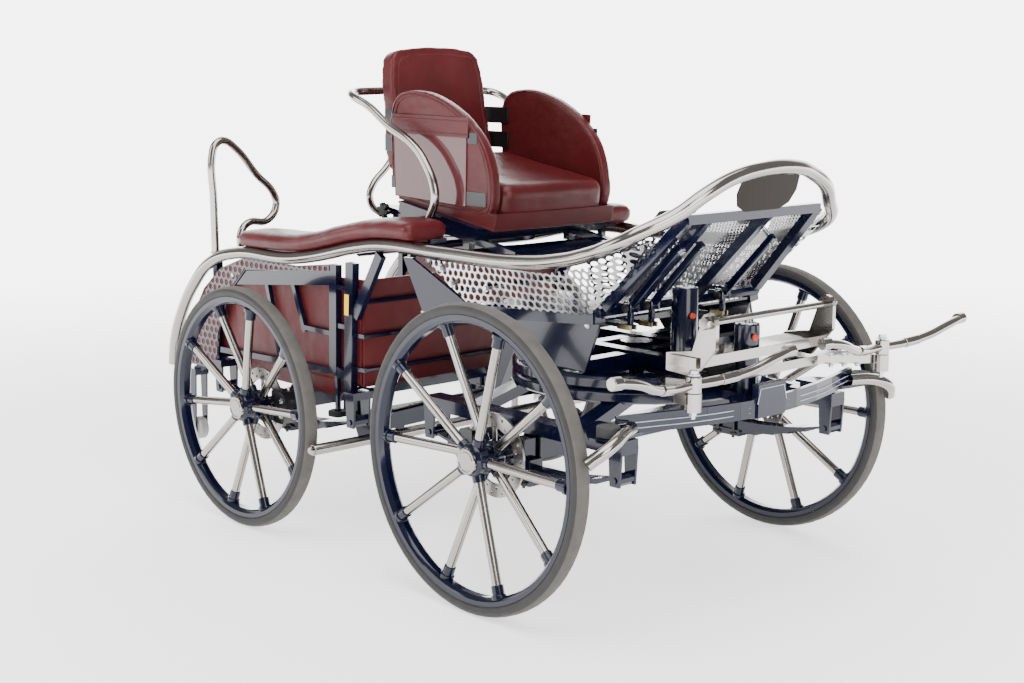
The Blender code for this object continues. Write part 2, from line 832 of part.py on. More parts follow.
def pole_bracket():
    """The cross bar on the draught post, its two ears and their eyes for the pole pin."""
    shapes = [
        bar(
            (DRAUGHT_POST_X, -POLE_BAR_HALF, POLE_BAR_Z),
            (DRAUGHT_POST_X, POLE_BAR_HALF, POLE_BAR_Z),
            0.090,
            0.026,
        )
    ]
    for _, sign in sides():
        ear = [
            (DRAUGHT_POST_X - 0.060, POLE_BAR_Z - 0.030),
            (DRAUGHT_POST_X + 0.030, POLE_BAR_Z - 0.036),
            (POLE_PIN_X + 0.024, POLE_BAR_Z + 0.040),
            *arc(0.024, -10, 190, 6, (POLE_PIN_X, POLE_PIN_Z)),
            (POLE_PIN_X - 0.050, POLE_BAR_Z + 0.028),
            (DRAUGHT_POST_X - 0.060, POLE_BAR_Z + 0.014),
        ]
        shapes.append(side_plate(ear, 0.012, sign * POLE_EAR_Y))
    cuts = [
        rod(
            (DRAUGHT_POST_X, 0, POLE_BAR_Z - 0.05),
            (DRAUGHT_POST_X, 0, POLE_BAR_Z + 0.05),
            DRAUGHT_POST_RADIUS + RUNNING_GAP,
            20,
        )
    ]
    cuts.append(
        rod(
            (POLE_PIN_X, -0.3, POLE_PIN_Z),
            (POLE_PIN_X, 0.3, POLE_PIN_Z),
            POLE_PIN_RADIUS + RUNNING_GAP,
            12,
        )
    )
    piece("pole_bracket", shapes, STEEL, STEERING, cuts=cuts)


def pole_pin():
    """The long pin that holds the pole between the ears, with its head and the hole for its clip."""
    outside = POLE_EAR_Y + 0.006 + CLEARANCE
    x, z = POLE_PIN_X, POLE_PIN_Z
    shapes = [rod((x, -outside - 0.004, z), (x, outside + 0.024, z), POLE_PIN_RADIUS, 12)]
    shapes.append(rod((x, -outside - 0.020, z), (x, -outside, z), 0.017, 6))
    tail = outside + 0.024
    point = POLE_PIN_RADIUS * 0.6
    shapes.append(rod((x, tail - 0.001, z), (x, tail + 0.006, z), POLE_PIN_RADIUS, 12, point))
    clip_hole = rod((x, outside + 0.012, z - 0.02), (x, outside + 0.012, z + 0.02), 0.0025, 8)
    piece("pole_pin", shapes, STEEL, STEERING, cuts=[clip_hole], pivot=(x, 0, z))


def evener():
    """The bar under the pole bracket, with an arm and a vertical lug at each end."""
    x = DRAUGHT_POST_X
    outline = [
        (x - 0.045, -0.120),
        (x + 0.045, -0.120),
        (x + 0.040, -0.250),
        (SWINGLE_PIVOT_X, -EVENER_HALF - 0.020),
        (SWINGLE_PIVOT_X - 0.040, -EVENER_HALF - 0.020),
        (x - 0.045, -0.290),
    ]
    outline = outline[2:] + [(u, -v) for u, v in reversed(outline[2:])]
    flat = frame_of((0, 0, EVENER_Z), (1, 0, 0), (0, 1, 0))
    shapes = [plate(outline, EVENER_THICKNESS, flat)]
    for _, sign in sides():
        lug = (SWINGLE_PIVOT_X, sign * SWINGLE_PIVOT_Y)
        shapes.append(rod((*lug, EVENER_Z - 0.030), (*lug, EVENER_Z + 0.014), 0.020, 14))
        shapes.append(rod((*lug, EVENER_Z - 0.010), (*lug, EVENER_Z + 0.058), 0.008, 12))
    cuts = [
        rod(
            (x, 0, EVENER_Z - 0.05),
            (x, 0, EVENER_Z + 0.05),
            DRAUGHT_POST_RADIUS + RUNNING_GAP,
            20,
        )
    ]
    pivot = empty("evener_axis", (x, 0, EVENER_Z), STEERING)
    piece("evener", shapes, STEEL, pivot, cuts=cuts)
    return pivot


def swingletree(side_name, sign, carrier):
    """A double-curved tube with a socket at its middle and a trace end at each tip."""
    x, y, z = SWINGLE_PIVOT_X, sign * SWINGLE_PIVOT_Y, EVENER_Z + 0.034
    pivot = empty(f"swingletree_axis_{side_name}", (x, y, z), carrier)
    half_route = [
        (0.000, 0.000, 0.000),
        (0.090, 0.010, 0.002),
        (0.170, 0.030, 0.016),
        (0.235, 0.046, 0.038),
        (0.285, 0.046, 0.048),
        (SWINGLE_HALF, 0.040, 0.050),
    ]
    left = [(x + dx, y + reach, z + dz) for reach, dx, dz in half_route]
    right = [(x + dx, y - reach, z + dz) for reach, dx, dz in reversed(half_route[1:])]
    shapes = [pipe(smooth(right + left, 2), SWINGLE_RADIUS, resolution=1)]
    shapes.append(rod((x, y, z - 0.019), (x, y, z + 0.020), 0.019, 14))
    for way in (-1, 1):
        tip = Vector((x + 0.040, y + way * SWINGLE_HALF, z + 0.050))
        out = Vector((-0.001, way * 0.030, 0.001))
        shapes.append(rod(tip - out * 0.8, tip + out * 0.2, SWINGLE_RADIUS + 0.004, 10))
    bore = rod((x, y, z - 0.05), (x, y, z + 0.05), 0.008 + RUNNING_GAP, 12)
    piece(f"swingletree_{side_name}", shapes, STEEL, pivot, cuts=[bore])


bumper()
pole_bracket()
pole_pin()
EVENER_AXIS = evener()
for tree_side, tree_sign in sides():
    swingletree(tree_side, tree_sign, EVENER_AXIS)


# Body frame


def flat_through(points, thickness):
    """A plate whose outline is given in space: its first three points set the plane."""
    origin = Vector(points[0])
    frame = frame_of(origin, Vector(points[1]) - origin, Vector(points[2]) - origin)
    u = frame.col[0].xyz
    v = frame.col[1].xyz
    outline = [((Vector(p) - origin).dot(u), (Vector(p) - origin).dot(v)) for p in points]
    return plate(outline, thickness, frame)


def flip(points, sign):
    """The same points on the other side of the carriage where the sign asks for it."""
    return [(x, sign * y, z) for x, y, z in points]


def chain(points, width, height, reach=0.35):
    """Box sections end to end along points, each reaching a share of its width further."""
    shapes = []
    for first, second in zip(points, points[1:]):
        along = (Vector(second) - Vector(first)).normalized() * width * reach
        shapes.append(bar(Vector(first) - along, Vector(second) + along, width, height))
    return shapes


def centre_post(sign):
    """The double upright beside the groom's way in, with its diagonal and ties."""
    y = sign * BODY_HALF
    top = POST_X
    back = POST_X - 0.082
    return [
        bar((top, y, 0.812), (top - 0.020, y, POST_FOOT_Z), 0.024, 0.036),
        bar((back, y, 0.800), (back - 0.008, y, 0.472), 0.022, 0.034),
        bar((top + 0.016, y, 0.655), (top + 0.136, y, 0.848), 0.018, 0.030),
        bar((back - 0.010, y, 0.486), (top - 0.012, y, 0.466), 0.018, 0.030),
        bar((back, y, 0.735), (top, y, 0.735), 0.014, 0.014),
        bar((back, y, 0.620), (top, y, 0.620), 0.014, 0.014),
    ]


def rear_side(sign):
    """The bars over the side lining, the strip under the rail and the flat top bar."""
    y = sign * BODY_HALF
    skin = sign * (RAIL_REAR_Y - RAIL_RADIUS - 0.0028)
    strip = [
        (-1.675, 0.392),
        (-1.480, 0.392),
        (-1.462, 0.520),
        (-1.400, 0.655),
        (-1.300, 0.740),
        (-0.850, 0.778),
        (-0.850, 0.800),
        (-1.020, 0.780),
        (-1.307, 0.778),
        (-1.450, 0.730),
        (-1.548, 0.655),
        (-1.612, 0.570),
        (-1.662, 0.470),
    ]
    shapes = [side_plate(strip, 0.005, skin)]
    shapes.append(bar((-1.400, y, 0.705), (POST_X - 0.07, y, 0.762), 0.014, 0.044))
    shapes.append(bar((-1.196, y, 0.725), (-1.119, y, 0.450), 0.014, 0.016))
    shapes.append(bar((-1.056, y, 0.735), (-0.993, y, 0.580), 0.014, 0.016))
    shapes.append(bar((-1.010, y, 0.594), (POST_X - 0.08, y, 0.592), 0.014, 0.014))
    shapes.append(bar((-1.478, y, 0.462), (POST_X - 0.08, y, 0.480), 0.014, 0.018))
    shapes += chain(flip(PAD_ROUTE, sign), 0.060, PAD_BAR, 0.06)
    return shapes


def frame_bores():
    """The holes for the kingpin and for the rods behind the pedals."""
    bores = []
    for y in PEDAL_Y.values():
        bores.append(
            rod((ROD_GUIDE_X - 0.06, y, ROD_Z), (ROD_GUIDE_X + 0.06, y, ROD_Z), ROD_BORE, 8)
        )
    return bores


def main_frame():
    """The welded frame: neck, sills, posts, rear sides, front box and front post."""
    shapes, bore = upper_ring()
    deck = UPPER_RING_BASE + RING_THICKNESS + 0.018
    for _, sign in sides():
        neck = [(-0.765, 0.365, 0.318), (-0.460, 0.115, 0.425), (-0.392, 0.100, 0.590)]
        shapes += chain(flip(neck, sign), 0.040, 0.046)
        shapes.append(bar((-0.405, sign * 0.1, deck), (0.222, sign * 0.1, deck), 0.038, 0.040))
        box_side = [(-0.275, 0.744), (0.160, 0.752), (0.100, 0.600), (-0.150, 0.600)]
        shapes.append(side_plate(box_side, 0.008, sign * 0.300))
        shape = [
            (-0.400, 0.4155, 0.690),
            (-0.262, 0.392, 0.752),
            (-0.448, 0.4237, 0.857),
            (-0.478, 0.4288, 0.857),
        ]
        shapes.append(flat_through(flip(shape, sign), 0.010))
        shapes.append(
            bar(flip([(-0.385, 0.413, 0.722)], sign)[0], (0.150, sign * 0.322, 0.748), 0.010, 0.030)
        )
        shapes.append(bar((0.148, sign * 0.29, 0.742), (0.148, sign * 0.325, 0.748), 0.020, 0.026))
        shapes.append(bar((-0.26, sign * 0.29, 0.738), (-0.26, sign * 0.396, 0.730), 0.030, 0.012))
        shapes += centre_post(sign)
        shapes += rear_side(sign)
        sill = sign * SILL_Y
        knee_x = POST_X - 0.030
        tie_x = POST_X - 0.015
        shapes.append(bar((POST_X + 0.075, sill, SILL_Z), (REAR_END_X, sill, SILL_Z), 0.030, 0.030))
        shapes.append(bar((knee_x, sill, 0.335), (knee_x, sill, SILL_Z), 0.030, 0.030))
        shapes.append(bar((tie_x, sign * 0.35, SILL_Z), (tie_x, sign * 0.411, SILL_Z), 0.026, 0.026))
        shapes.append(bar((-1.500, sign * 0.385, 0.752), (-1.432, sign * 0.385, 0.775), 0.018, 0.018))
        shapes.append(bar((-1.440, sign * 0.372, 0.772), (-1.270, sign * 0.365, 0.8115), 0.018, 0.014))
        for x, z in SEAT_TUBES:
            prop_y = sign * 0.342
            shapes.append(bar((x, prop_y, z), (x, prop_y, pad_underside(x) - 0.006), 0.018, 0.018))
        shapes.append(bar((-0.676, sign * 0.296, 0.3185), (-0.676, sign * 0.296, 0.346), 0.024, 0.024))
        rib = (REAR_END_X + 0.02, sign * 0.385)
        shapes.append(bar((*rib, SILL_Z), (*rib, 0.765), 0.024, 0.024))
        shapes.append(bar((rib[0], sign * 0.35, SILL_Z), (rib[0], sign * 0.409, SILL_Z), 0.024, 0.026))
        for x in (-WHEELBASE - SPRING_REACH, -WHEELBASE + SPRING_REACH):
            shapes.append(
                bar((x, sign * 0.350, SILL_Z), (x, sign * (SPRING_Y + 0.034), SILL_Z), 0.044, 0.022)
            )
    shapes.append(bar((-0.100, -0.300, deck), (-0.100, 0.300, deck), 0.040, 0.030))
    shapes.append(bar((0.075, -0.300, deck), (0.075, 0.300, deck), 0.040, 0.030))
    stem = (POST_X - 0.080, -BODY_HALF)
    shapes.append(rod((*stem, 0.342), (*stem, 0.480), ADJUSTER_STEM, 8))
    shapes.append(rod((*stem, 0.3415), (*stem, 0.3452), ADJUSTER_STEM + 0.004, 8))
    post_x, post_y, post_top = FRONT_POST
    shapes.append(bar((post_x, -0.110, deck), (post_x, 0.110, deck), 0.060, 0.030))
    shapes.append(rod((post_x, post_y, deck), (post_x, post_y, post_top), 0.034, 14))
    foot_x, foot_y, foot_z = DASH_FOOT
    shapes.append(rod((foot_x, -foot_y, foot_z), (foot_x, foot_y, foot_z), FRAME_TUBE / 2, 8))
    shapes.append(block((0.415, 0.600, 0.006), (-0.055, 0.0, 0.742)))
    shapes.append(bar((-0.775, -0.382, 0.340), (-0.775, 0.382, 0.340), 0.040, 0.036))
    shapes.append(bar((REAR_END_X, -0.370, SILL_Z), (REAR_END_X, 0.370, SILL_Z), 0.036, 0.030))
    shapes.append(rod((-1.440, -0.400, 0.772), (-1.440, 0.400, 0.772), 0.013, 8))
    for x, z in SEAT_TUBES:
        shapes.append(rod((x, -0.350, z), (x, 0.350, z), 0.015, 8))
    for z in (0.700, 0.600, 0.500):
        shapes.append(rod((-0.710, -0.394, z), (-0.710, 0.394, z), 0.007, 6))
        for _, sign in sides():
            tie_y = sign * 0.3945
            shapes.append(block((0.050, 0.010, 0.012), (-0.730, tie_y, z)))
    shapes.append(bar((ROD_GUIDE_X, -0.300, 0.700), (ROD_GUIDE_X, 0.300, 0.700), 0.020, 0.030))
    for y in PEDAL_Y.values():
        shapes.append(rod((ROD_GUIDE_X - 0.03, y, ROD_Z), (ROD_GUIDE_X + 0.03, y, ROD_Z), 0.014, 8))
        for edge in (-1, 1):
            tab_y = y + edge * PEDAL_TAB
            shapes.append(block((0.050, 0.005, 0.024), (PEDAL_X - 0.012, tab_y, PEDAL_Z)))
        reach = PEDAL_TAB + 0.006
        shapes.append(rod((PEDAL_X, y - reach, PEDAL_Z), (PEDAL_X, y + reach, PEDAL_Z), PEDAL_PIN, 8))
    shapes += spring_hangers(-WHEELBASE, REAR_WHEEL_RADIUS, SILL_Z)
    arm_end = (ROLLER_X, ROLLER_Y, 0.374)
    shapes.append(bar((REAR_END_X, ROLLER_Y + 0.045, SILL_Z), arm_end, 0.034, 0.026))
    for edge in (-1, 1):
        cheek = [
            (ROLLER_X - 0.012, ROLLER_Z - 0.012),
            (ROLLER_X + 0.012, ROLLER_Z - 0.012),
            (ROLLER_X + 0.022, 0.374),
            (ROLLER_X - 0.016, 0.374),
        ]
        shapes.append(side_plate(cheek, 0.005, ROLLER_Y + edge * 0.021))
    shapes.append(block((0.044, 0.052, 0.022), (ROLLER_X + 0.003, ROLLER_Y, 0.370)))
    pin_ends = (ROLLER_Y - 0.027, ROLLER_Y + 0.027)
    shapes.append(
        rod((ROLLER_X, pin_ends[0], ROLLER_Z), (ROLLER_X, pin_ends[1], ROLLER_Z), ROLLER_PIN, 8)
    )
    piece("main_frame", shapes, NAVY, ROOT, cuts=[bore] + frame_bores())


def pad_underside(x):
    """The height of the cushions' underside at a place along the carriage."""
    for (x0, z0), (x1, z1) in zip(PAD_LINE, PAD_LINE[1:]):
        if x0 <= x <= x1:
            return z0 + (z1 - z0) * (x - x0) / (x1 - x0)
    return PAD_LINE[-1][1]


main_frame()


# Body panels, rail, pads and the small moving pieces below


def ruled(lower, upper, thickness):
    """A thin skin between two edges with the same number of points, thickened along y."""
    bm = bmesh.new()
    rings = []
    for low, high in zip(lower, upper):
        way = math.copysign(1.0, low[1])
        shift = Vector((0.0, way * thickness / 2, 0.0))
        ring = [Vector(low) - shift, Vector(high) - shift, Vector(high) + shift, Vector(low) + shift]
        rings.append([bm.verts.new(point) for point in ring])
    for first, second in zip(rings, rings[1:]):
        for index in range(4):
            following = (index + 1) % 4
            bm.faces.new((first[index], first[following], second[following], second[index]))
    bm.faces.new(rings[0])
    bm.faces.new(list(reversed(rings[-1])))
    bmesh.ops.triangulate(bm, faces=bm.faces)
    return raw(bm)


def loft(rings):
    """A closed body through rings of points, capped at both ends."""
    bm = bmesh.new()
    made = [[bm.verts.new(Vector(point)) for point in ring] for ring in rings]
    count = len(rings[0])
    for first, second in zip(made, made[1:]):
        for index in range(count):
            following = (index + 1) % count
            bm.faces.new((first[index], first[following], second[following], second[index]))
    bm.faces.new(made[0])
    bm.faces.new(list(reversed(made[-1])))
    bmesh.ops.triangulate(bm, faces=bm.faces)
    return raw(bm)


def floors():
    """The rear floor on the sills and the sloped tread plate on the neck."""
    low = SILL_Z + 0.015 + CLEARANCE
    rear = block((0.770, 0.690, 0.003), (-1.143, 0.0, low + 0.0015))
    piece("rear_floor", [rear], STEEL, ROOT)
    slope = frame_of((-0.752, 0.0, 0.3525), (0.0, 1.0, 0.0), (0.305, 0.0, 0.107))
    half = TREAD_HALF
    tongue = TREAD_TONGUE_HALF
    outline = [
        (-half, 0.0),
        (half, 0.0),
        (half, TREAD_SHOULDER),
        (tongue, TREAD_SHOULDER),
        (tongue, TREAD_LENGTH),
        (-tongue, TREAD_LENGTH),
        (-tongue, TREAD_SHOULDER),
        (-half, TREAD_SHOULDER),
    ]
    tread = plate(outline, PANEL_THICKNESS, slope)
    piece("tread_plate", [tread], TREAD, ROOT)


def lining():
    """The bulkhead and both side walls of the groom's place, one bent sheet."""
    wall = [
        (-1.484, 0.447),
        (-0.720, 0.447),
        (-0.720, 0.764),
        (-1.380, 0.745),
        (-1.484, 0.640),
    ]
    skirt = [(-1.384, 0.402), (-0.840, 0.402), (-0.792, 0.452), (-1.384, 0.452)]
    shapes = []
    for _, sign in sides():
        shapes.append(side_plate(wall, 0.006, sign * 0.384))
        shapes.append(side_plate(skirt, 0.0054, sign * 0.384))
    shapes.append(block((0.006, 0.765, 0.3155), (-0.7225, 0.0, 0.6055)))
    piece("rear_lining", shapes, RED, ROOT)


def forwards(up):
    """The way square to the dash that points ahead of it."""
    way = up.cross(Vector((0.0, 1.0, 0.0)))
    return way * math.copysign(1.0, way.x)


def dash():
    """The footboard, the tube frame it is fixed to and the plain plate above it."""
    foot = Vector((DASH_FOOT[0], 0.0, DASH_FOOT[2]))
    up = (Vector((DASH_TOP[0], 0.0, DASH_TOP[2])) - foot).normalized()
    across = Vector((0.0, 1.0, 0.0))
    start = foot + up * (FRAME_TUBE / 2 + 0.0026)
    end = foot + up * 0.345
    half = 0.013
    shapes = [
        bar(start + across * low, end + across * high + up * 0.004, half * 2, half * 2)
        for low, high in DASH_BARS
    ]
    shapes.append(bar(end - across * 0.262, end + across * 0.262, half * 1.9, half * 1.9))
    away = forwards(up)
    plane = frame_of(foot - away * (half + PANEL_THICKNESS / 2 + 0.0021), across, up)
    board = [(-0.300, 0.032), (0.300, 0.032), (0.262, 0.324), (-0.262, 0.324)]
    holes = []
    for y in PEDAL_Y.values():
        stem = Vector((PEDAL_X, y, PEDAL_Z)) + up * (PEDAL_REACH - 0.012 + 0.004)
        holes.append(rod(stem - away * 0.10, stem + away * 0.02, PAD_HOLE, 12))
    piece("footboard", [plate(board, PANEL_THICKNESS, plane)], STEEL, ROOT, cuts=holes)
    piece("dash_frame", shapes, NAVY, ROOT)
    bar_middle = end
    rail_middle = Vector((RAIL_APEX[0], 0.0, RAIL_APEX[2]))
    lean = (rail_middle - bar_middle).normalized()
    front = across.cross(lean)
    low = bar_middle + front * 0.0176
    high = rail_middle + front * (RAIL_RADIUS + CLEARANCE)
    mirror_plane = frame_of(low + front * 0.002, across, high - low)
    length = (high - low).length
    mirror = [
        (-0.052, -0.014),
        (0.052, -0.014),
        (0.074, 0.020),
        (0.070, length - 0.004),
        (-0.070, length - 0.004),
        (-0.074, 0.020),
    ]
    piece("mirror_plate", [plate(mirror, 0.0035, mirror_plane)], STEEL, ROOT)


def rail():
    """One continuous tube: both sides of the body and the arch over the dash."""
    half = [
        (-1.718, 0.430, 0.384),
        (-1.704, 0.430, 0.468),
        (-1.649, 0.430, 0.579),
        (-1.577, 0.430, 0.667),
        (-1.480, 0.430, 0.746),
        (-1.323, 0.430, 0.793),
        (-1.036, 0.428, 0.803),
        (-0.901, 0.426, 0.822),
        (-0.697, 0.424, 0.865),
        (-0.588, 0.422, 0.880),
        (-0.338, 0.420, 0.880),
        (-0.010, 0.420, 0.885),
        (0.120, 0.420, 0.901),
        (0.213, 0.418, 0.923),
        (0.302, 0.410, 0.955),
        (0.352, 0.380, 0.984),
        (0.404, 0.300, 1.029),
        (0.435, 0.240, 1.074),
        (0.451, 0.160, 1.110),
        RAIL_APEX,
    ]
    near = [(x, -y, z) for x, y, z in half]
    far = list(reversed(half))
    piece("side_rail", [pipe(near + far, RAIL_RADIUS, resolution=1)], STEEL, ROOT)


def side_panels():
    """The perforated panel on each side of the driver's feet, leaning out to the rail."""
    lower = [
        (-0.250, 0.3970, 0.752),
        (-0.060, 0.3647, 0.752),
        (0.140, 0.3307, 0.756),
        (0.235, 0.3142, 0.846),
        (0.345, 0.3002, 0.955),
    ]
    upper = [
        (-0.428, 0.4060, 0.855),
        (-0.200, 0.4060, 0.855),
        (0.060, 0.4050, 0.862),
        (0.225, 0.4000, 0.895),
        (0.352, 0.3400, 0.962),
    ]
    for side_name, sign in sides():
        skin = ruled(flip(lower, sign), flip(upper, sign), PANEL_THICKNESS)
        piece(f"side_panel_{side_name}", [skin], STEEL, ROOT)


def pad_section(width, height, edge):
    """A cushion's cross-section round its bottom centre, rounded, with a slight crown."""
    w = width / 2
    return [
        (-w + edge, 0.0),
        (w - edge, 0.0),
        (w, edge),
        (w, height - edge * 1.4),
        (w - edge, height - edge * 0.3),
        (0.0, height),
        (-w + edge, height - edge * 0.3),
        (-w, height - edge * 1.4),
        (-w, edge),
    ]


def side_pads():
    """The long cushions on the pad bars, just above the side rail."""
    for side_name, sign in sides():
        rings = []
        for index, (x, z) in enumerate(PAD_LINE):
            last = index in (0, len(PAD_LINE) - 1)
            section = pad_section(0.146 if last else 0.150, 0.040 if last else 0.050, 0.012)
            ring = [(x, sign * (0.375 + u), z + v) for u, v in section]
            rings.append(ring)
        piece(f"side_pad_{side_name}", [loft(rings)], BLACK, ROOT)


def grab_handles():
    """The bent tube handle on each side of the groom's way out."""
    points = [
        (0.430, 0.7805),
        (0.431, 0.950),
        (0.431, 1.100),
        (0.418, 1.128),
        (0.390, 1.139),
        (0.344, 1.113),
        (0.267, 1.026),
        (0.205, 0.965),
        (0.194, 0.920),
        (0.230, 0.875),
        (0.301, 0.872),
        (0.330, 0.846),
        (0.336, 0.7865),
    ]
    for side_name, sign in sides():
        tube = pipe([(-1.440, sign * y, z) for y, z in points], 0.0125, resolution=1)
        piece(f"grab_handle_{side_name}", [tube], STEEL, ROOT)


def step_and_roller():
    """The transverse step bar, the roller at the rear and the adjusters' handwheels."""
    x, z = STEP_PLACE
    ends = (STEP_HALF_LENGTH, STEP_HALF_LENGTH - 0.012)
    shapes = [rod((x, -ends[1], z), (x, ends[1], z), STEP_RADIUS, 12)]
    for way in (-1, 1):
        shapes.append(rod((x, way * (ends[1] - 0.002), z), (x, way * ends[0], z), 0.013, 12))
    piece("step_bar", shapes, NAVY, ROOT)

    hub = empty("roller_axis", (ROLLER_X, ROLLER_Y, ROLLER_Z), ROOT)
    profile = [
        (ROLLER_PIN + RUNNING_GAP * 1.5, -0.015),
        (ROLLER_RADIUS - 0.006, -0.015),
        (ROLLER_RADIUS, -0.010),
        (ROLLER_RADIUS, 0.010),
        (ROLLER_RADIUS - 0.006, 0.015),
        (ROLLER_PIN + RUNNING_GAP * 1.5, 0.015),
    ]
    roller = lathe(profile, 16, (0, 1, 0), (ROLLER_X, ROLLER_Y, ROLLER_Z))
    piece("rear_roller", [roller], BLACK, hub)

    place = (POST_X - 0.080, -BODY_HALF, ADJUSTER_Z)
    knob = empty("adjuster_axis", place, ROOT)
    wheel = [
        (ADJUSTER_STEM + RUNNING_GAP * 1.5, -0.008),
        (ADJUSTER_RADIUS, -0.008),
        (ADJUSTER_RADIUS, 0.008),
        (ADJUSTER_STEM + RUNNING_GAP * 1.5, 0.008),
    ]
    piece("adjuster_handwheel", [lathe(wheel, 16, (0, 0, 1), place)], STEEL, knob)


floors()
lining()
dash()
rail()
side_panels()
side_pads()
grab_handles()
step_and_roller()


# Pedals and push rods


def pedals():
    """Three levers hung before the dash, each with a pad, and the rods they push."""
    pivot_x, pivot_z = PEDAL_X, PEDAL_Z
    foot = Vector((DASH_FOOT[0], 0.0, DASH_FOOT[2]))
    up = (Vector((DASH_TOP[0], 0.0, DASH_TOP[2])) - foot).normalized()
    for pedal_name, y in PEDAL_Y.items():
        pivot = empty(f"pedal_axis_{pedal_name}", (pivot_x, y, pivot_z), ROOT)
        centre = Vector((pivot_x, y, pivot_z))
        lever_end = centre + up * PEDAL_REACH
        shapes = [rod((pivot_x, y - 0.010, pivot_z), (pivot_x, y + 0.010, pivot_z), 0.013, 12)]
        shapes.append(bar(centre, lever_end, 0.014, 0.020))
        away = forwards(up)
        pad = lever_end - up * 0.012 - away * PAD_STANDOFF
        shapes.append(rod(lever_end - up * 0.012, pad, PAD_STEM, 8))
        tilt = frame_of(pad, (0.0, 1.0, 0.0), up)
        foot_pad = [(-0.028, -0.038), (0.028, -0.038), (0.028, 0.038), (-0.028, 0.038)]
        shapes.append(plate(foot_pad, 0.012, tilt))
        arm_end = Vector((pivot_x, y, ROD_Z - 0.008))
        shapes.append(bar(centre, arm_end, 0.012, 0.016))
        bore = rod((pivot_x, y - 0.05, pivot_z), (pivot_x, y + 0.05, pivot_z), PEDAL_PIN + RUNNING_GAP, 8)
        eye = rod((pivot_x, y - 0.05, ROD_Z), (pivot_x, y + 0.05, ROD_Z), CLEVIS_PIN + CLEVIS_PLAY, 8)
        piece(f"pedal_{pedal_name}", shapes, NAVY, pivot, cuts=[bore, eye])

        travel = empty(f"push_rod_axis_{pedal_name}", (pivot_x, y, ROD_Z), ROOT)
        front = pivot_x + 0.012
        back = pivot_x - 0.034
        parts = [rod((back + 0.004, y, ROD_Z), (ROD_GUIDE_X - 0.070, y, ROD_Z), ROD_RADIUS, 8)]
        parts.append(block((0.014, 0.024, 0.014), (back + 0.007, y, ROD_Z)))
        for edge in (-1, 1):
            cheek = ((front + back) / 2, y + edge * 0.0095, ROD_Z)
            parts.append(block((front - back, 0.004, 0.014), cheek))
        parts.append(rod((pivot_x, y - 0.013, ROD_Z), (pivot_x, y + 0.013, ROD_Z), CLEVIS_PIN, 8))
        piece(f"push_rod_{pedal_name}", parts, BRASS, travel)


pedals()


# Driver's seat


def tilted(x, y, z):
    """A place given along, across and up from the seat's slide, in the carriage."""
    along = math.cos(SEAT_TILT)
    down = math.sin(SEAT_TILT)
    ax, az = SEAT_ORIGIN
    return Vector((ax + x * along + z * down, y, az - x * down + z * along))


def seat_block(size, centre):
    """A block that lies square in the seat's tilted frame."""
    return block(size, tilted(*centre), Matrix.Rotation(SEAT_TILT, 4, "Y"))


def seat_base():
    """The frame under the seat: two slide rails, cross bars and legs on the seat tubes."""
    shapes = []
    for _, sign in sides():
        y = sign * SLIDE_Y
        shapes.append(seat_block((0.600, 0.024, 0.020), (0.040, y, 0.0)))
        for x, z in SEAT_TUBES:
            along = (x - SEAT_ORIGIN[0]) / math.cos(SEAT_TILT)
            top = tilted(along, y, 0.0)
            shapes.append(bar((x, y, z + 0.015 + CLEARANCE * 2), (x, y, top.z), 0.022, 0.026))
    for x in (-0.235, 0.320):
        shapes.append(seat_block((0.030, SLIDE_Y * 2, 0.016), (x, 0.0, -0.001)))
    knob_place = tilted(*KNOB_PLACE)
    stud = rod(
        knob_place - Vector((0, 0.02, 0)), knob_place + Vector((0, 0.04, 0)), 0.005 + RUNNING_GAP, 8
    )
    piece("seat_base", shapes, NAVY, ROOT, cuts=[stud])

    axis = empty("knob_axis", knob_place, ROOT)
    head = knob_place - Vector((0, 0.0125, 0))
    star = [rod(head - Vector((0, 0.016, 0)), head, 0.013, 12)]
    for index in range(3):
        turn = Matrix.Rotation(math.radians(60 * index + 15), 4, "Y")
        star.append(block((0.046, 0.014, 0.012), head - Vector((0, 0.008, 0)), turn))
    star.append(rod(head - Vector((0, 0.002, 0)), head + Vector((0, 0.030, 0)), 0.005, 8))
    piece("seat_lock_knob", star, BLACK, axis)


def seat_pan(slide):
    """The pan that slides: runners on the rails, a folded skirt and tabs for the hoop."""
    shapes = [seat_block((0.356, 0.512, 0.006), (0.049, 0.0, PAN_TOP - 0.003))]
    for _, sign in sides():
        y = sign * SLIDE_Y
        base = 0.010 + CLEARANCE
        height = PAN_TOP - 0.004 - base
        shapes.append(seat_block((0.300, 0.036, height), (0.049, y, base + height / 2)))
        shapes.append(seat_block((0.350, 0.004, 0.030), (0.049, sign * 0.252, PAN_TOP - 0.018)))
        shapes.append(seat_block((0.030, 0.019, 0.005), (0.060, sign * 0.2638, PAN_TOP - 0.0045)))
    for x in (-0.125, 0.223):
        shapes.append(seat_block((0.004, 0.506, 0.030), (x, 0.0, PAN_TOP - 0.0185)))
    piece("seat_pan", shapes, NAVY, slide)


def seat_cushion(slide):
    """The squab: rounded edges, drawn-in sides and a low crown."""
    rings = []
    for x, width, top in (
        (-0.190, 0.400, 0.066),
        (-0.176, 0.424, 0.084),
        (-0.060, 0.432, 0.092),
        (0.100, 0.432, 0.096),
        (0.215, 0.428, 0.090),
        (0.246, 0.414, 0.076),
        (0.256, 0.392, 0.058),
    ):
        section = pad_section(width, top, 0.018)
        rings.append([tilted(x, u, PAN_TOP + CLEARANCE * 2 + v) for u, v in section])
    piece("seat_cushion", [loft(rings)], RED, slide)


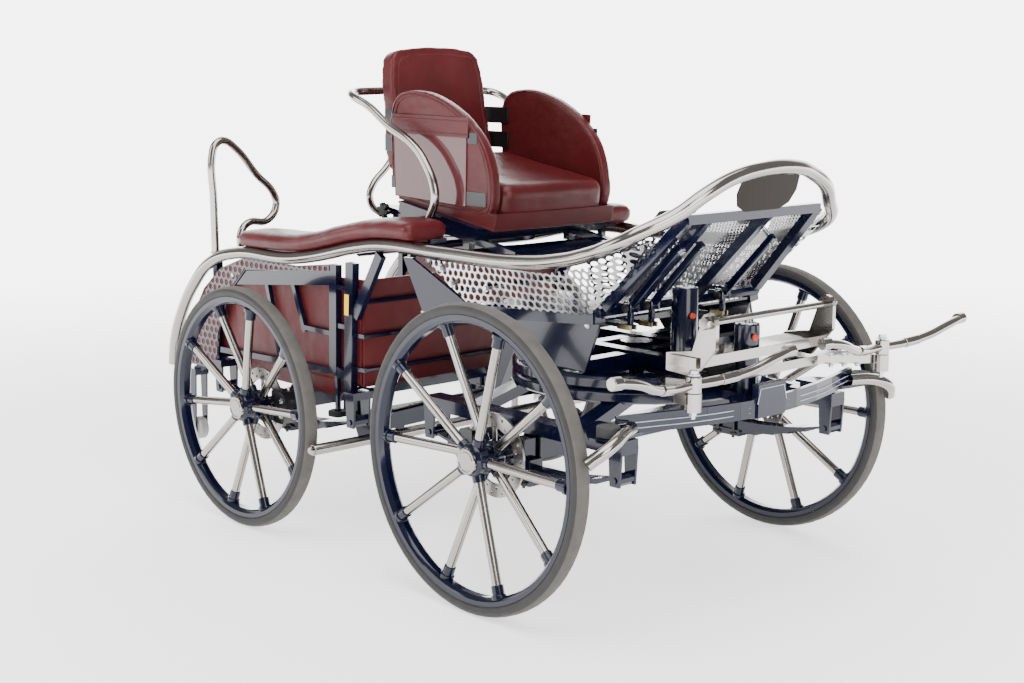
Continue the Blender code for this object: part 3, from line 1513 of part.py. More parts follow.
def wing_outline():
    """The side wing's outline seen from the side."""
    corners = [
        (-0.742, 0.9886),
        (-0.300, 0.9600),
        (-0.288, 1.0300),
        (-0.300, 1.0980),
        (-0.366, 1.1340),
        (-0.440, 1.1820),
        (-0.511, 1.2400),
        (-0.590, 1.2920),
        (-0.680, 1.3080),
        (-0.800, 1.3000),
        (-0.868, 1.2760),
        (-0.872, 1.2000),
        (-0.820, 1.1000),
    ]
    return corners


def seat_shell(slide):
    """The two padded wings and the back rest between them."""
    outline = wing_outline()
    count = len(outline)
    middle = Vector((sum(x for x, _ in outline) / count, 0.0, sum(z for _, z in outline) / count))
    for side_name, sign in sides():
        rings = []
        for depth, scale in ((0.2385, 0.955), (0.2440, 1.0), (0.2680, 1.0), (0.2735, 0.955)):
            ring = []
            for x, z in outline:
                place = middle + (Vector((x, 0.0, z)) - middle) * scale
                ring.append((place.x, sign * depth, place.z))
            rings.append(ring)
        piece(f"seat_wing_{side_name}", [loft(rings)], RED, slide)
    rings = []
    for z, half, front, back in (
        (1.065, 0.215, -0.800, -0.842),
        (1.080, 0.2382, -0.790, -0.852),
        (1.200, 0.2382, -0.806, -0.872),
        (1.290, 0.232, -0.826, -0.888),
        (1.330, 0.190, -0.836, -0.894),
        (1.400, 0.170, -0.852, -0.902),
        (1.422, 0.150, -0.862, -0.900),
    ):
        edge = 0.014
        rings.append(
            [
                (front, -half + edge, z),
                (front, half - edge, z),
                (front - edge, half, z),
                (back + edge, half, z),
                (back, half - edge, z),
                (back, -half + edge, z),
                (back + edge, -half, z),
                (front - edge, -half, z),
            ]
        )
    piece("seat_back", [loft(rings)], RED, slide)


def seat_hoop(slide):
    """The bent tube from the pan up round both wings and behind the back rest."""
    half = [
        (-0.541, 0.2859, 0.9480),
        (-0.516, 0.2859, 1.0050),
        (-0.521, 0.2859, 1.0440),
        (-0.551, 0.2859, 1.0960),
        (-0.604, 0.2859, 1.1480),
        (-0.731, 0.2859, 1.2090),
        (-0.820, 0.2859, 1.2600),
        (-0.896, 0.2859, 1.2900),
        (-0.920, 0.2620, 1.2970),
        (-0.924, 0.2000, 1.3000),
        (-0.924, 0.0800, 1.3010),
    ]
    near = [(x, -y, z) for x, y, z in half]
    tube = pipe(near + list(reversed(half)), 0.0120, resolution=1)
    piece("seat_hoop", [tube], STEEL, slide)


SLIDE = empty("seat_slide", tilted(0.0, 0.0, 0.0), ROOT)
seat_base()
seat_pan(SLIDE)
seat_cushion(SLIDE)
seat_shell(SLIDE)
seat_hoop(SLIDE)
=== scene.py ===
"""Dresses the marathon carriage's frame: finishes, tubes, wheels, upholstery and fittings."""

import json
import logging
import math
from dataclasses import dataclass, field
from enum import Enum
from typing import Any, Callable, Sequence

import bpy
from mathutils import Matrix, Vector

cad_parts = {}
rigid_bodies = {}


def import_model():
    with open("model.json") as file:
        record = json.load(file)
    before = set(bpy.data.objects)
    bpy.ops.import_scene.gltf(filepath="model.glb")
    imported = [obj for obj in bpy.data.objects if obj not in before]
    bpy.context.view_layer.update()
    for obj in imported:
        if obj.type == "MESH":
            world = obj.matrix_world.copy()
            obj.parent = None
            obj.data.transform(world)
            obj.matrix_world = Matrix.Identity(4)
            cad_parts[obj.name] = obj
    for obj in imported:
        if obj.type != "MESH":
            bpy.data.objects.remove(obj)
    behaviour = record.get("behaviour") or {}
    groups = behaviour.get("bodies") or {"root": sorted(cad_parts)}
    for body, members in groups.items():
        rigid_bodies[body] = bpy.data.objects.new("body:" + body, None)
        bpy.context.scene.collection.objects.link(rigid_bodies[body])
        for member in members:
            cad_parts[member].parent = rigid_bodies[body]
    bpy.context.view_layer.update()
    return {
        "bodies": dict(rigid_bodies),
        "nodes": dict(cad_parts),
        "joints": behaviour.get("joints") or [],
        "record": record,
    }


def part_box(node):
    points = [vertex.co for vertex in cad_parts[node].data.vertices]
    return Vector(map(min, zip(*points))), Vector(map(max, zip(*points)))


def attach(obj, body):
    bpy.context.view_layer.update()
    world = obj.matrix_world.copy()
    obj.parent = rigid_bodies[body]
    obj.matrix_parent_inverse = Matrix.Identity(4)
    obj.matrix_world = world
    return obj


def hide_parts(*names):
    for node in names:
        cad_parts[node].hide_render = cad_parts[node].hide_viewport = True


log = logging.getLogger("carriage")

# The distance from the front axle to the middle of the whole carriage, as in the CAD source.
SHIFT = 0.57065
AHEAD = Vector((1, 0, 0))
LEFTWARD = Vector((0, 1, 0))
UPWARD = Vector((0, 0, 1))
SIDES = (("right", -1), ("left", 1))
# The specular level of everything that isn't metal, and how rough every coat is.
SPECULAR = 0.28
COAT_ROUGHNESS = 0.05
Point = tuple[float, float, float]


class Slot(Enum):
    """The record's material slots; each finish names one."""

    NAVY = "navy_paint"
    STAINLESS = "stainless"
    TYRE = "tyre"
    SPRING = "spring_steel"
    RED = "red_cover"
    PAD = "pad_cover"
    PLASTIC = "black_plastic"
    BRASS = "brass"


# Shader maths


class Value:
    """A shader socket whose arithmetic adds Math nodes to its tree."""

    def __init__(self, tree: Any, socket: Any) -> None:
        """Keeps the tree and the socket."""
        self.tree = tree
        self.socket = socket

    def apply(self, operation: str, other: Any = None, swap: bool = False) -> "Value":
        """Adds one Math node.

        Args:
            operation: the node's operation.
            other: a number or another value.
            swap: puts the other operand first.

        Returns:
            The node's result.
        """
        node = self.tree.nodes.new("ShaderNodeMath")
        node.operation = operation
        mine, theirs = (1, 0) if swap else (0, 1)
        self.tree.links.new(self.socket, node.inputs[mine])
        if isinstance(other, Value):
            self.tree.links.new(other.socket, node.inputs[theirs])
        elif other is not None:
            node.inputs[theirs].default_value = other
        return Value(self.tree, node.outputs[0])

    def __add__(self, other: Any) -> "Value":
        """Adds."""
        return self.apply("ADD", other)

    def __sub__(self, other: Any) -> "Value":
        """Subtracts."""
        return self.apply("SUBTRACT", other)

    def __rsub__(self, other: Any) -> "Value":
        """Subtracts from."""
        return self.apply("SUBTRACT", other, swap=True)

    def __mul__(self, other: Any) -> "Value":
        """Multiplies."""
        return self.apply("MULTIPLY", other)

    def __gt__(self, other: Any) -> "Value":
        """1 where the value is above the other."""
        return self.apply("GREATER_THAN", other)

    def __pow__(self, other: Any) -> "Value":
        """Raises to a power."""
        return self.apply("POWER", other)


class Shader:
    """One material's node tree, with its Principled node and the nodes that feed it."""

    def __init__(self, name: str) -> None:
        """Makes the material and finds its Principled node.

        Args:
            name: the material's name.
        """
        self.material = bpy.data.materials.new(name)
        self.material.use_nodes = True
        self.tree = self.material.node_tree
        self.principled = next(n for n in self.tree.nodes if n.type == "BSDF_PRINCIPLED")

    def node(self, kind: str, settings: dict[str, Any], sockets: dict[Any, Any]) -> Any:
        """Adds a node, sets it up and fills its inputs.

        Args:
            kind: the node's type.
            settings: attributes, set first.
            sockets: input names or numbers with a number, a colour or a Value.

        Returns:
            The node.
        """
        made = self.tree.nodes.new(kind)
        for key, setting in settings.items():
            setattr(made, key, setting)
        for key, given in sockets.items():
            if isinstance(given, Value):
                self.tree.links.new(given.socket, made.inputs[key])
            else:
                made.inputs[key].default_value = given
        return made

    def place(self) -> Value:
        """The object coordinates."""
        return Value(self.tree, self.node("ShaderNodeTexCoord", {}, {}).outputs["Object"])

    def axes(self) -> tuple[Value, Value, Value]:
        """The object coordinates as three values."""
        split = self.node("ShaderNodeSeparateXYZ", {}, {0: self.place()})
        return tuple(Value(self.tree, split.outputs[i]) for i in range(3))

    def noise(self, scale: float, detail: float) -> Value:
        """Noise over the object, about 0.5, of a scale and a number of octaves."""
        sockets = {"Vector": self.place(), "Scale": scale, "Detail": detail}
        return Value(self.tree, self.node("ShaderNodeTexNoise", {}, sockets).outputs["Fac"])

    def blend(self, mask: Value, low: Sequence[float], high: Sequence[float]) -> Value:
        """A colour between two, by a mask.

        Args:
            mask: 0 for the first colour, 1 for the second.
            low: the first colour.
            high: the second colour.

        Returns:
            The colour.
        """
        mix = self.node("ShaderNodeMix", {"data_type": "RGBA"}, {0: mask})
        mix.inputs[6].default_value = (*low, 1.0)
        mix.inputs[7].default_value = (*high, 1.0)
        return Value(self.tree, mix.outputs[2])

    def bump(self, height: Value, distance: float, strength: float = 1.0) -> None:
        """Feeds a bump to Normal.

        Args:
            height: the height, 0 to 1.
            distance: its size in metres.
            strength: its strength.
        """
        sockets = {"Height": height, "Distance": distance, "Strength": strength}
        made = self.node("ShaderNodeBump", {}, sockets)
        self.tree.links.new(made.outputs[0], self.principled.inputs["Normal"])

    def feed(self, name: str, value: Value) -> None:
        """Links a value to one of the Principled node's inputs."""
        self.tree.links.new(value.socket, self.principled.inputs[name])

    def constant(self, **values: Any) -> None:
        """Sets the Principled node's own numbers and colours.

        Args:
            values: input names, with underscores for spaces, and what they are set to.
        """
        for key, setting in values.items():
            self.principled.inputs[key.replace("_", " ")].default_value = setting


@dataclass(frozen=True)
class Finish:
    """One finish: its plain values and, where it varies, what draws the pattern."""

    name: str
    colour: tuple[float, float, float]
    roughness: float
    metallic: float = 0.0
    coat: float = 0.0
    pattern: Callable[["Finish", Shader], None] | None = None
    slot: Slot = Slot.NAVY

    def material(self) -> Any:
        """Makes the material, or finds it where it is already made.

        Returns:
            The material.
        """
        known = bpy.data.materials.get(self.name)
        if known:
            return known
        shader = Shader(self.name)
        shader.constant(
            Base_Color=(*self.colour, 1.0), Roughness=self.roughness, Metallic=self.metallic
        )
        if not self.metallic:
            shader.constant(Specular_IOR_Level=SPECULAR)
        if self.coat:
            shader.constant(Coat_Weight=self.coat, Coat_Roughness=COAT_ROUGHNESS)
        if self.pattern:
            self.pattern(self, shader)
        return shader.material

    def dress(self, obj: Any) -> None:
        """Puts the finish on every slot of an object.

        Args:
            obj: the object.
        """
        if not obj.data.materials:
            obj.data.materials.append(self.material())
        for index in range(len(obj.material_slots)):
            obj.material_slots[index].material = self.material()


def smudged(finish: Finish, shader: Shader) -> None:
    """Slightly uneven gloss, as on metal that has been wiped."""
    cloud = shader.noise(9.0, 4.0)
    shader.feed("Roughness", (cloud - 0.5) * 0.16 + finish.roughness)


def grained(finish: Finish, shader: Shader) -> None:
    """Soft cover leather: a fine grain, and tone that shifts over the skin.

    Args:
        finish: the finish that it draws.
        shader: the material's node tree.
    """
    fine = shader.noise(420.0, 2.0)
    broad = shader.noise(7.0, 3.0)
    darker = [c * 0.72 for c in finish.colour]
    lighter = [min(c * 1.35, 1.0) for c in finish.colour]
    shader.feed("Base Color", shader.blend(broad, darker, lighter))
    shader.feed("Roughness", (broad - 0.5) * 0.2 + finish.roughness)
    shader.bump(fine * 0.5 + shader.noise(38.0, 3.0), 0.0011, 0.55)


def moulded(finish: Finish, shader: Shader) -> None:
    """Worn rubber: dusty patches and a fine surface.

    Args:
        finish: the finish that it draws.
        shader: the material's node tree.
    """
    patch = shader.noise(26.0, 5.0)
    lighter = [c * 1.7 + 0.006 for c in finish.colour]
    shader.feed("Base Color", shader.blend(patch, finish.colour, lighter))
    shader.bump(shader.noise(320.0, 2.0), 0.0006, 0.5)


def drilled(pitch: float, radius: float, lean: float) -> Callable[[Finish, Shader], None]:
    """A pattern of staggered round holes, cut through by alpha.

    Args:
        pitch: the distance between holes along a row, in metres.
        radius: the holes' radius.
        lean: the sheet's slope from level, in radians, so that the holes stay round.

    Returns:
        The pattern, for a Finish.
    """

    def draw(finish: Finish, shader: Shader) -> None:
        """Draws the holes in the sheet's own plane.

        Args:
            finish: the finish that it draws.
            shader: the material's node tree.
        """
        x, y, z = shader.axes()
        if lean:
            along = y
            across = x * math.cos(lean) + z * math.sin(lean)
        else:
            along = x
            across = z
        stagger = 0.866  # between rows, as a share of the pitch
        row = pitch * stagger
        line = (across * (1.0 / row)).apply("FLOOR")
        offset = (line * 0.5).apply("FRACT") * pitch
        u = ((along + offset) * (1.0 / pitch)).apply("FRACT") - 0.5
        v = ((across * (1.0 / row)).apply("FRACT") - 0.5) * stagger
        distance = (u * u + v * v) ** 0.5
        shader.feed("Alpha", distance > radius / pitch)
        smudged(finish, shader)

    return draw


def chequered(finish: Finish, shader: Shader) -> None:
    """Tread plate: short raised bars that cross.

    Args:
        finish: the finish that it draws.
        shader: the material's node tree.
    """
    x, y, _ = shader.axes()
    pitch = 0.026
    cell_x = (x * (1.0 / pitch)).apply("FLOOR")
    cell_y = (y * (1.0 / pitch)).apply("FLOOR")
    turn = ((cell_x + cell_y) * 0.5).apply("FRACT") * 2.0
    u = (x * (1.0 / pitch)).apply("FRACT") - 0.5
    v = (y * (1.0 / pitch)).apply("FRACT") - 0.5
    first = (u + v).apply("ABSOLUTE") * 5.0 + (u - v).apply("ABSOLUTE") * 1.1
    second = (u - v).apply("ABSOLUTE") * 5.0 + (u + v).apply("ABSOLUTE") * 1.1
    distance = first * (1.0 - turn) + second * turn
    raised = (1.25 - distance).apply("MAXIMUM", 0.0).apply("MINIMUM", 1.0)
    shader.bump(raised, 0.0016, 1.0)


def creased(finish: Finish, shader: Shader) -> None:
    """A cover's grain over soft upright folds.

    Args:
        finish: the finish that it draws.
        shader: the material's node tree.
    """
    fold = shader.noise(7.0, 2.0)
    grain = shader.noise(900.0, 2.0)
    shader.feed("Roughness", fold * 0.20 + (finish.roughness - 0.08))
    shader.bump(fold * 0.96 + grain * 0.04, 0.012, 0.9)


def glowing(finish: Finish, shader: Shader) -> None:
    """A floor that shines on its own, more so the further it lies from the carriage.

    Args:
        finish: the finish that it draws.
        shader: the material's node tree.
    """
    reach = shader.node("ShaderNodeVectorMath", {"operation": "LENGTH"}, {0: shader.place()})
    span: dict[str, Any] = {"From Min": 1.4, "From Max": 7.0, "To Min": 0.24, "To Max": 1.0}
    span["Value"] = Value(shader.tree, reach.outputs["Value"])
    glow = shader.node("ShaderNodeMapRange", {"interpolation_type": "SMOOTHSTEP"}, span)
    shader.constant(Emission_Strength=4.8)
    shader.feed("Emission Color", Value(shader.tree, glow.outputs["Result"]))


NAVY = Finish("navy_gloss", (0.0022, 0.0032, 0.0170), 0.16, coat=0.30)
PALE_LINE = Finish("pale_line", (0.42, 0.46, 0.60), 0.35)
NAVY_MESH = Finish(
    "navy_mesh", (0.0028, 0.0042, 0.0200), 0.22, coat=0.5, pattern=drilled(0.0270, 0.0098, 0.0)
)
DASH_MESH = Finish(
    "expanded_mesh", (0.020, 0.022, 0.030), 0.30, 0.6, pattern=drilled(0.0190, 0.0078, 0.9)
)
# Polished steel whose colour is darkened below the metal's own: a painted dark reflection of the
# surroundings over the real stainless colour.
STAINLESS = Finish(
    "polished_stainless_dark_reflection", (0.33, 0.31, 0.290), 0.15, 1.0, pattern=smudged, slot=Slot.STAINLESS
)
BRUSHED = Finish(
    "satin_stainless", (0.32, 0.31, 0.30), 0.30, 1.0, pattern=smudged, slot=Slot.STAINLESS
)
PLATED = Finish("zinc_plated", (0.50, 0.52, 0.54), 0.26, 1.0, pattern=smudged, slot=Slot.STAINLESS)
# Near-black metal on the mirror plate: a painted dark reflection, not the polished plate's own
# colour.
MIRROR_PAINTED_REFLECTION = Finish("mirror_plate_painted_reflection", (0.016, 0.013, 0.011), 0.05, 1.0, slot=Slot.STAINLESS)
BRASS = Finish("yellow_plated", (0.36, 0.29, 0.15), 0.30, 1.0, pattern=smudged, slot=Slot.BRASS)
RUBBER = Finish("tyre_rubber", (0.020, 0.019, 0.019), 0.58, pattern=moulded, slot=Slot.TYRE)
TREAD_BAND = Finish("worn_tread", (0.062, 0.058, 0.053), 0.80, pattern=moulded, slot=Slot.TYRE)
BLACK = Finish("satin_black", (0.006, 0.006, 0.007), 0.34, coat=0.3, slot=Slot.PLASTIC)
PLASTIC = Finish("moulded_black", (0.008, 0.008, 0.008), 0.48, slot=Slot.PLASTIC)
BUFFER = Finish("grey_rubber", (0.045, 0.045, 0.046), 0.70, pattern=moulded, slot=Slot.PLASTIC)
PALE_NYLON = Finish("pale_nylon", (0.24, 0.235, 0.225), 0.50, pattern=moulded, slot=Slot.PLASTIC)
GREASE_CAP = Finish("red_cap", (0.50, 0.028, 0.010), 0.40, slot=Slot.PLASTIC)
REFLECTOR = Finish("amber_reflector", (0.95, 0.62, 0.02), 0.22, coat=0.6, slot=Slot.PLASTIC)
LEATHER = Finish("oxblood_cover", (0.066, 0.0062, 0.0074), 0.36, pattern=grained, slot=Slot.RED)
LINING = Finish("lining_cover", (0.088, 0.0060, 0.0075), 0.38, pattern=creased, slot=Slot.RED)
WELT = Finish("welt_cover", (0.075, 0.012, 0.015), 0.42, slot=Slot.RED)
CLEAR = Finish("clear_window", (0.085, 0.022, 0.026), 0.10, coat=0.35, slot=Slot.RED)
PAD_COVER = Finish("dark_red_cover", (0.070, 0.0055, 0.0070), 0.40, pattern=grained, slot=Slot.PAD)
SIDE_SHEET = Finish(
    "perforated_side", (0.52, 0.52, 0.52), 0.24, 1.0, pattern=drilled(0.0225, 0.0086, 0.0)
)
FOOT_SHEET = Finish(
    "perforated_footboard", (0.46, 0.46, 0.46), 0.28, 1.0, pattern=drilled(0.0130, 0.0044, 0.8)
)
FLOOR = Finish("floor_white", (0.95, 0.95, 0.95), 0.75, pattern=glowing)
TREAD_PLATE = Finish("tread_plate_finish", (0.42, 0.42, 0.42), 0.30, 1.0, pattern=chequered)


# Modelling


def at(x: float, y: float, z: float) -> Vector:
    """A place given from the front axle, in the row frame."""
    return Vector((x + SHIFT, y, z))


def active() -> Any:
    """The active object."""
    return bpy.context.view_layer.objects.active


def only(*objects: Any) -> Any:
    """Selects these objects and nothing else.

    Args:
        objects: what to select; the first becomes active.

    Returns:
        The first object.
    """
    bpy.ops.object.select_all(action="DESELECT")
    for obj in objects:
        obj.select_set(True)
    bpy.context.view_layer.objects.active = objects[0]
    return objects[0]


def applied(obj: Any, kind: str, **settings: Any) -> Any:
    """Adds a modifier and applies it.

    Args:
        obj: the object.
        kind: the modifier's type.
        settings: its attributes.

    Returns:
        The object.
    """
    only(obj)
    modifier = obj.modifiers.new(kind.lower(), kind)
    for key, setting in settings.items():
        setattr(modifier, key, setting)
    bpy.ops.object.modifier_apply(modifier=modifier.name)
    return obj


def dented(obj: Any, name: str, scale: float, strength: float) -> None:
    """Displaces a surface by soft clouds.

    Args:
        obj: the object.
        name: the texture's name.
        scale: the clouds' size.
        strength: the depth, in metres.
    """
    clouds = bpy.data.textures.new(name, "CLOUDS")
    clouds.noise_scale = scale
    settings = {"texture": clouds, "strength": strength, "texture_coords": "GLOBAL"}
    applied(obj, "DISPLACE", mid_level=0.5, **settings)


def settled(obj: Any, sharp_deg: float = 32.0) -> Any:
    """Applies an object's place and turn, and shades it smooth up to an angle.

    Args:
        obj: the object.
        sharp_deg: edges sharper than this stay sharp.

    Returns:
        The object.
    """
    only(obj)
    bpy.ops.object.transform_apply(location=True, rotation=True, scale=True)
    bpy.ops.object.shade_smooth_by_angle(angle=math.radians(sharp_deg))
    return obj


def outward(obj: Any, merge: float = 0.00002) -> Any:
    """Merges doubles and turns the faces outwards.

    Args:
        obj: the object.
        merge: the merge distance.

    Returns:
        The object.
    """
    only(obj)
    bpy.ops.object.mode_set(mode="EDIT")
    bpy.ops.mesh.select_all(action="SELECT")
    bpy.ops.mesh.remove_doubles(threshold=merge)
    bpy.ops.mesh.normals_make_consistent(inside=False)
    bpy.ops.object.mode_set(mode="OBJECT")
    return obj


def joined(name: str, pieces: Sequence[Any]) -> Any:
    """Joins pieces into one object.

    Args:
        name: its name.
        pieces: what to join.

    Returns:
        The object.
    """
    only(*pieces)
    if len(pieces) > 1:
        bpy.ops.object.join()
    made = active()
    made.name = name
    made.data.name = name
    return made


def turn_to(axis: Sequence[float]) -> Any:
    """The rotation that takes +Z to an axis."""
    return UPWARD.rotation_difference(Vector(axis).normalized())


def path_curve(points: Sequence[Vector], smooth: bool, closed: bool = False) -> Any:
    """A curve through points.

    Args:
        points: the places it passes.
        smooth: True for a flowing line, False for straight stretches.
        closed: joins its ends.

    Returns:
        The curve object.
    """
    bpy.ops.curve.primitive_bezier_curve_add(location=(0.0, 0.0, 0.0))
    made = active()
    curve = made.data
    curve.dimensions = "3D"
    curve.splines.clear()
    spline = curve.splines.new("BEZIER" if smooth else "POLY")
    nodes = spline.bezier_points if smooth else spline.points
    nodes.add(len(points) - 1)
    for node, place in zip(nodes, points):
        if smooth:
            node.co = place
            node.handle_left_type = "AUTO"
            node.handle_right_type = "AUTO"
        else:
            node.co = (*place, 1.0)
    spline.use_cyclic_u = closed
    return made


def meshed(curve: Any) -> Any:
    """The mesh object that a curve turns into.

    Args:
        curve: the curve object.

    Returns:
        The mesh object.
    """
    only(curve)
    bpy.ops.object.convert(target="MESH")
    return active()


def tube(
    name: str,
    points: Sequence[Vector],
    radius: float,
    smooth: bool = True,
    closed: bool = False,
    fine: int = 6,
) -> Any:
    """A round tube along points, with closed ends.

    Args:
        name: its name.
        points: the places it passes.
        radius: its radius.
        smooth: a flowing line, or straight stretches.
        closed: joins its ends.
        fine: how finely it is divided.

    Returns:
        The object.
    """
    made = path_curve(points, smooth, closed)
    made.data.bevel_depth = radius
    made.data.bevel_resolution = 4
    made.data.resolution_u = fine
    made.data.use_fill_caps = True
    made = meshed(made)
    made.name = name
    outward(made)
    return settled(made, 40.0)


def turned(
    name: str,
    profile: Sequence[tuple[float, float]],
    centre: Vector,
    axis: Sequence[float],
    steps: int = 48,
    closed: bool = True,
) -> Any:
    """A turned piece: a profile spun about an axis.

    Args:
        name: its name.
        profile: pairs of radius and height along the axis.
        centre: where height 0 lies.
        axis: the axis.
        steps: divisions round it.
        closed: the profile is a closed loop, otherwise it starts and ends on the axis.

    Returns:
        The object.
    """
    made = path_curve([Vector((r, 0.0, h)) for r, h in profile], False, closed)
    made = meshed(made)
    applied(
        made,
        "SCREW",
        steps=steps,
        render_steps=steps,
        use_merge_vertices=True,
        merge_threshold=0.00005,
        use_normal_calculate=True,
    )
    outward(made)
    made.matrix_world = Matrix.Translation(centre) @ turn_to(axis).to_matrix().to_4x4()
    made.name = name
    return settled(made, 30.0)


def rod(
    name: str, start: Vector, end: Vector, radius: float, sides: int = 20, edge: float = 0.0
) -> Any:
    """A straight round bar.

    Args:
        name: its name.
        start: one end's centre.
        end: the other end's centre.
        radius: its radius.
        sides: its sides.
        edge: the bevel of its rims.

    Returns:
        The object.
    """
    span = end - start
    bpy.ops.mesh.primitive_cylinder_add(
        vertices=sides,
        radius=radius,
        depth=span.length,
        location=(start + end) / 2,
        rotation=turn_to(span).to_euler(),
    )
    made = active()
    made.name = name
    settled(made, 40.0)
    if edge:
        applied(made, "BEVEL", width=edge, segments=2, limit_method="ANGLE")
    return made


def block(
    name: str,
    size: Sequence[float],
    centre: Vector,
    turn: Matrix | None = None,
    edge: float = 0.002,
) -> Any:
    """A box with soft edges.

    Args:
        name: its name.
        size: its three sides.
        centre: its centre.
        turn: its rotation, if it has one.
        edge: the bevel.

    Returns:
        The object.
    """
    bpy.ops.mesh.primitive_cube_add(size=1.0)
    made = active()
    made.matrix_world = (
        Matrix.Translation(centre)
        @ (turn.to_4x4() if turn else Matrix())
        @ Matrix.Diagonal((*size, 1.0))
    )
    made.name = name
    settled(made)
    if edge:
        applied(made, "BEVEL", width=edge, segments=2)
    return made


def flat_sheet(
    name: str,
    outline: Sequence[tuple[float, float]],
    thickness: float,
    frame: Matrix,
    edge: float = 0.0,
    smooth: bool = False,
) -> Any:
    """A flat plate from its outline.

    Args:
        name: its name.
        outline: its corners in the frame's first two axes.
        thickness: its thickness, half to each side.
        frame: the plane's place.
        edge: the bevel.
        smooth: draws a flowing outline through the corners.

    Returns:
        The object.
    """
    made = path_curve([Vector((u, v, 0.0)) for u, v in outline], smooth, True)
    made.data.dimensions = "2D"
    made.data.fill_mode = "BOTH"
    made = meshed(made)
    outward(made)
    applied(made, "SOLIDIFY", thickness=thickness, offset=0.0)
    made.matrix_world = frame
    made.name = name
    settled(made)
    outward(made)
    if edge:
        applied(made, "BEVEL", width=edge, segments=2, limit_method="ANGLE")
    return made


def plane_frame(origin: Vector, across: Vector, up: Vector) -> Matrix:
    """A plane's place: across, up and the normal between them.

    Args:
        origin: where the plane's origin lies.
        across: its first axis.
        up: roughly its second axis.

    Returns:
        The matrix.
    """
    first = across.normalized()
    third = first.cross(up).normalized()
    second = third.cross(first)
    frame = Matrix((first, second, third)).transposed().to_4x4()
    frame.translation = origin
    return frame


def upright(origin: Vector) -> Matrix:
    """The plane at a place that runs along the carriage and up."""
    return plane_frame(origin, AHEAD, UPWARD)


def bolt(
    name: str, place: Vector, axis: Sequence[float], size: float = 0.008, washer: bool = True
) -> Any:
    """A hexagon head on its washer, standing out of a surface.

    Args:
        name: its name.
        place: the point on the surface.
        axis: the way it stands out.
        size: the head's radius.
        washer: whether it has one.

    Returns:
        The object.
    """
    way = Vector(axis).normalized()
    parts = []
    foot = place - way * 0.001
    if washer:
        parts.append(rod(name, foot, place + way * 0.0016, size * 1.35, 20))
    head = rod(name, foot, place + way * size * 0.95, size, 6)
    applied(head, "BEVEL", width=size * 0.1, segments=1, limit_method="ANGLE")
    parts.append(head)
    return joined(name, parts)


class Piece:
    @staticmethod
    def give(
        obj: Any, body: str, finish: Finish | None, *nodes: str, slot: Slot | None = None
    ) -> None:
        """Dresses a piece, attaches it to its body, hides the CAD nodes that it stands for and logs
        its body.

        Args:
            obj: the piece.
            body: the body it rides on.
            finish: its finish, or none where it is already dressed.
            nodes: the CAD nodes that it replaces.
            slot: the record's slot, where it isn't the finish's own; not used.
        """
        if finish:
            finish.dress(obj)
        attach(obj, body)
        if nodes:
            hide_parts(*nodes)
        log.info("%s rides on %s", obj.name, body)


def assembled(
    name: str,
    pieces: Sequence[Any],
    body: str,
    finish: Finish,
    *nodes: str,
    slot: Slot | None = None,
    sharp_deg: float | None = None,
) -> None:
    """Joins pieces and hands them over as one.

    Args:
        name: its name.
        pieces: what to join.
        body: the body it rides on.
        finish: its finish.
        nodes: the CAD nodes that it replaces.
        slot: the record's slot, where it isn't the finish's own.
        sharp_deg: shades it smooth up to this angle, where it is given.
    """
    made = joined(name, pieces)
    if sharp_deg is not None:
        settled(made, sharp_deg)
    Piece.give(made, body, finish, *nodes, slot=slot)


# Wheels


